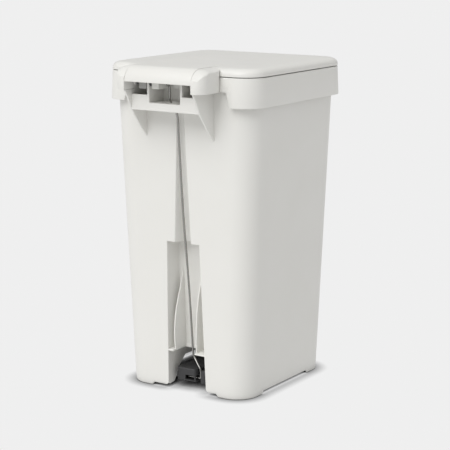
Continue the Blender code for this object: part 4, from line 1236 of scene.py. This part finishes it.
# ---- camera, light and floor --------------------------------------------------------------------
LENS_MM = 121.38
CAMERA_AT = Vector((-1.57355, 2.40017, 0.87208)) + SHIFT
LOOK_AT = Vector((0.0036, 0.0, 0.2954)) + SHIFT
WHITE = 0.864                      # radiance of the backdrop and the open floor
SKY = 0.37                         # radiance of the studio around the bin
SKY_RISE = 0.38                    # what the ceiling adds to it
KEY_STRENGTH = 1.80
KEY_ANGLE = 46                     # a wide source, for soft shading
KEY_SIDE = 8                       # degrees from the bin's back towards +X
KEY_RISE = 48
# The floor's contact shade and the black under the bin are painted shade: occlusion darkens the floor's
# glow, and no lamp casts them.
SHADE_REACH = 0.026                # how far the contact shade spreads from the bin's edge
SHADE_POWER = 1.4
UNDER_REACH = 0.50                 # far enough to find the bin's floor above the ground
UNDER_DARK = 0.03                  # openness at which the painted shade under the bin is black
UNDER_CLEAR = 0.26                 # and at which it is as bright as the open floor
OPENNESS_SAMPLES = 32
FLOOR_HALF = 40.0


def aim(thing, at):
    """Turns a camera or lamp to look at a point."""
    direction = at - thing.location
    thing.rotation_euler = direction.to_track_quat("-Z", "Y").to_euler()


def make_camera():
    """A long lens that looks at the bin's back and one side, from a little above."""
    lens = bpy.data.cameras.new("camera")
    lens.lens = LENS_MM
    lens.sensor_width = 36.0
    lens.clip_end = 100.0
    camera = bpy.data.objects.new("camera", lens)
    bpy.context.scene.collection.objects.link(camera)
    camera.location = CAMERA_AT
    aim(camera, LOOK_AT)
    bpy.context.scene.camera = camera


def make_sky():
    """An even backdrop for the camera, and a studio that is brighter overhead for the bin."""
    world = bpy.data.worlds.new("studio")
    world.use_nodes = True
    tree = world.node_tree
    tree.nodes.clear()
    where = add(tree, "ShaderNodeTexCoord").outputs["Generated"]
    split = add(tree, "ShaderNodeSeparateXYZ", None, {"Vector": where})
    height = add(tree, "ShaderNodeMath", {"operation": "POWER"}, {0: split.outputs["Z"], 1: 2.0})
    bright = add(tree, "ShaderNodeMath", {"operation": "MULTIPLY_ADD"}, {
        0: height.outputs[0], 1: SKY_RISE, 2: SKY})
    dome = add(tree, "ShaderNodeBackground", None, {
        "Color": (1, 1, 1, 1), "Strength": bright.outputs[0]})
    seen = add(tree, "ShaderNodeBackground", None, {"Color": (1, 1, 1, 1), "Strength": WHITE})
    ray = add(tree, "ShaderNodeLightPath")
    mix = add(tree, "ShaderNodeMixShader", None, {
        0: ray.outputs["Is Camera Ray"], 1: dome.outputs[0], 2: seen.outputs[0]})
    add(tree, "ShaderNodeOutputWorld", None, {"Surface": mix.outputs[0]})
    bpy.context.scene.world = world


def make_key():
    """A broad lamp above and behind the bin, which lights its back and its top."""
    sun = bpy.data.lights.new("key", "SUN")
    sun.energy = KEY_STRENGTH
    sun.angle = math.radians(KEY_ANGLE)
    key = bpy.data.objects.new("key", sun)
    bpy.context.scene.collection.objects.link(key)
    side = math.radians(KEY_SIDE)
    rise = math.radians(KEY_RISE)
    key.location = (math.cos(rise) * math.sin(side), math.cos(rise) * math.cos(side), math.sin(rise))
    aim(key, Vector((0, 0, 0)))


def make_floor():
    """A self-lit white floor, with painted shade where the bin stands over it or close beside it."""
    half = FLOOR_HALF
    mesh = bpy.data.meshes.new("floor")
    mesh.from_pydata([(-half, -half, 0), (half, -half, 0), (half, half, 0), (-half, half, 0)], [],
                     [(0, 1, 2, 3)])
    floor = bpy.data.objects.new("floor", mesh)
    bpy.context.scene.collection.objects.link(floor)
    made = bpy.data.materials.new("studio_floor")
    made.use_nodes = True
    tree = made.node_tree
    tree.nodes.clear()
    fine = {"samples": OPENNESS_SAMPLES}
    # Painted shade: occlusion near the bin and under it darkens the floor's glow.
    near = add(tree, "ShaderNodeAmbientOcclusion", fine, {"Distance": SHADE_REACH})
    shade = add(tree, "ShaderNodeMath", {"operation": "POWER"}, {0: near.outputs["AO"], 1: SHADE_POWER})
    wide = add(tree, "ShaderNodeAmbientOcclusion", fine, {"Distance": UNDER_REACH})
    under = add(tree, "ShaderNodeMapRange", None, {
        "Value": wide.outputs["AO"], "From Min": UNDER_DARK, "From Max": UNDER_CLEAR,
        "To Max": WHITE})
    painted_shade_glow = add(tree, "ShaderNodeMath", {"operation": "MULTIPLY"}, {
        0: shade.outputs[0], 1: under.outputs["Result"]})
    light = add(tree, "ShaderNodeEmission", None, {"Strength": painted_shade_glow.outputs[0]})
    add(tree, "ShaderNodeOutputMaterial", None, {"Surface": light.outputs[0]})
    mesh.materials.append(made)


# ---- the scene ----------------------------------------------------------------------------------
make_camera()
FINISHES = make_finishes()
make_sky()
make_key()
make_floor()
bpy.context.scene.view_settings.view_transform = "Standard"

make_bucket()
make_band()
make_bag_ring()
make_cover("left", 1)
make_cover("right", -1)
make_lid()
make_liner()
make_rod()
make_axles()
make_crank()
make_damper()
make_lever()
make_bearings()
make_screws()
make_pads()
make_tread()
make_bumpers()
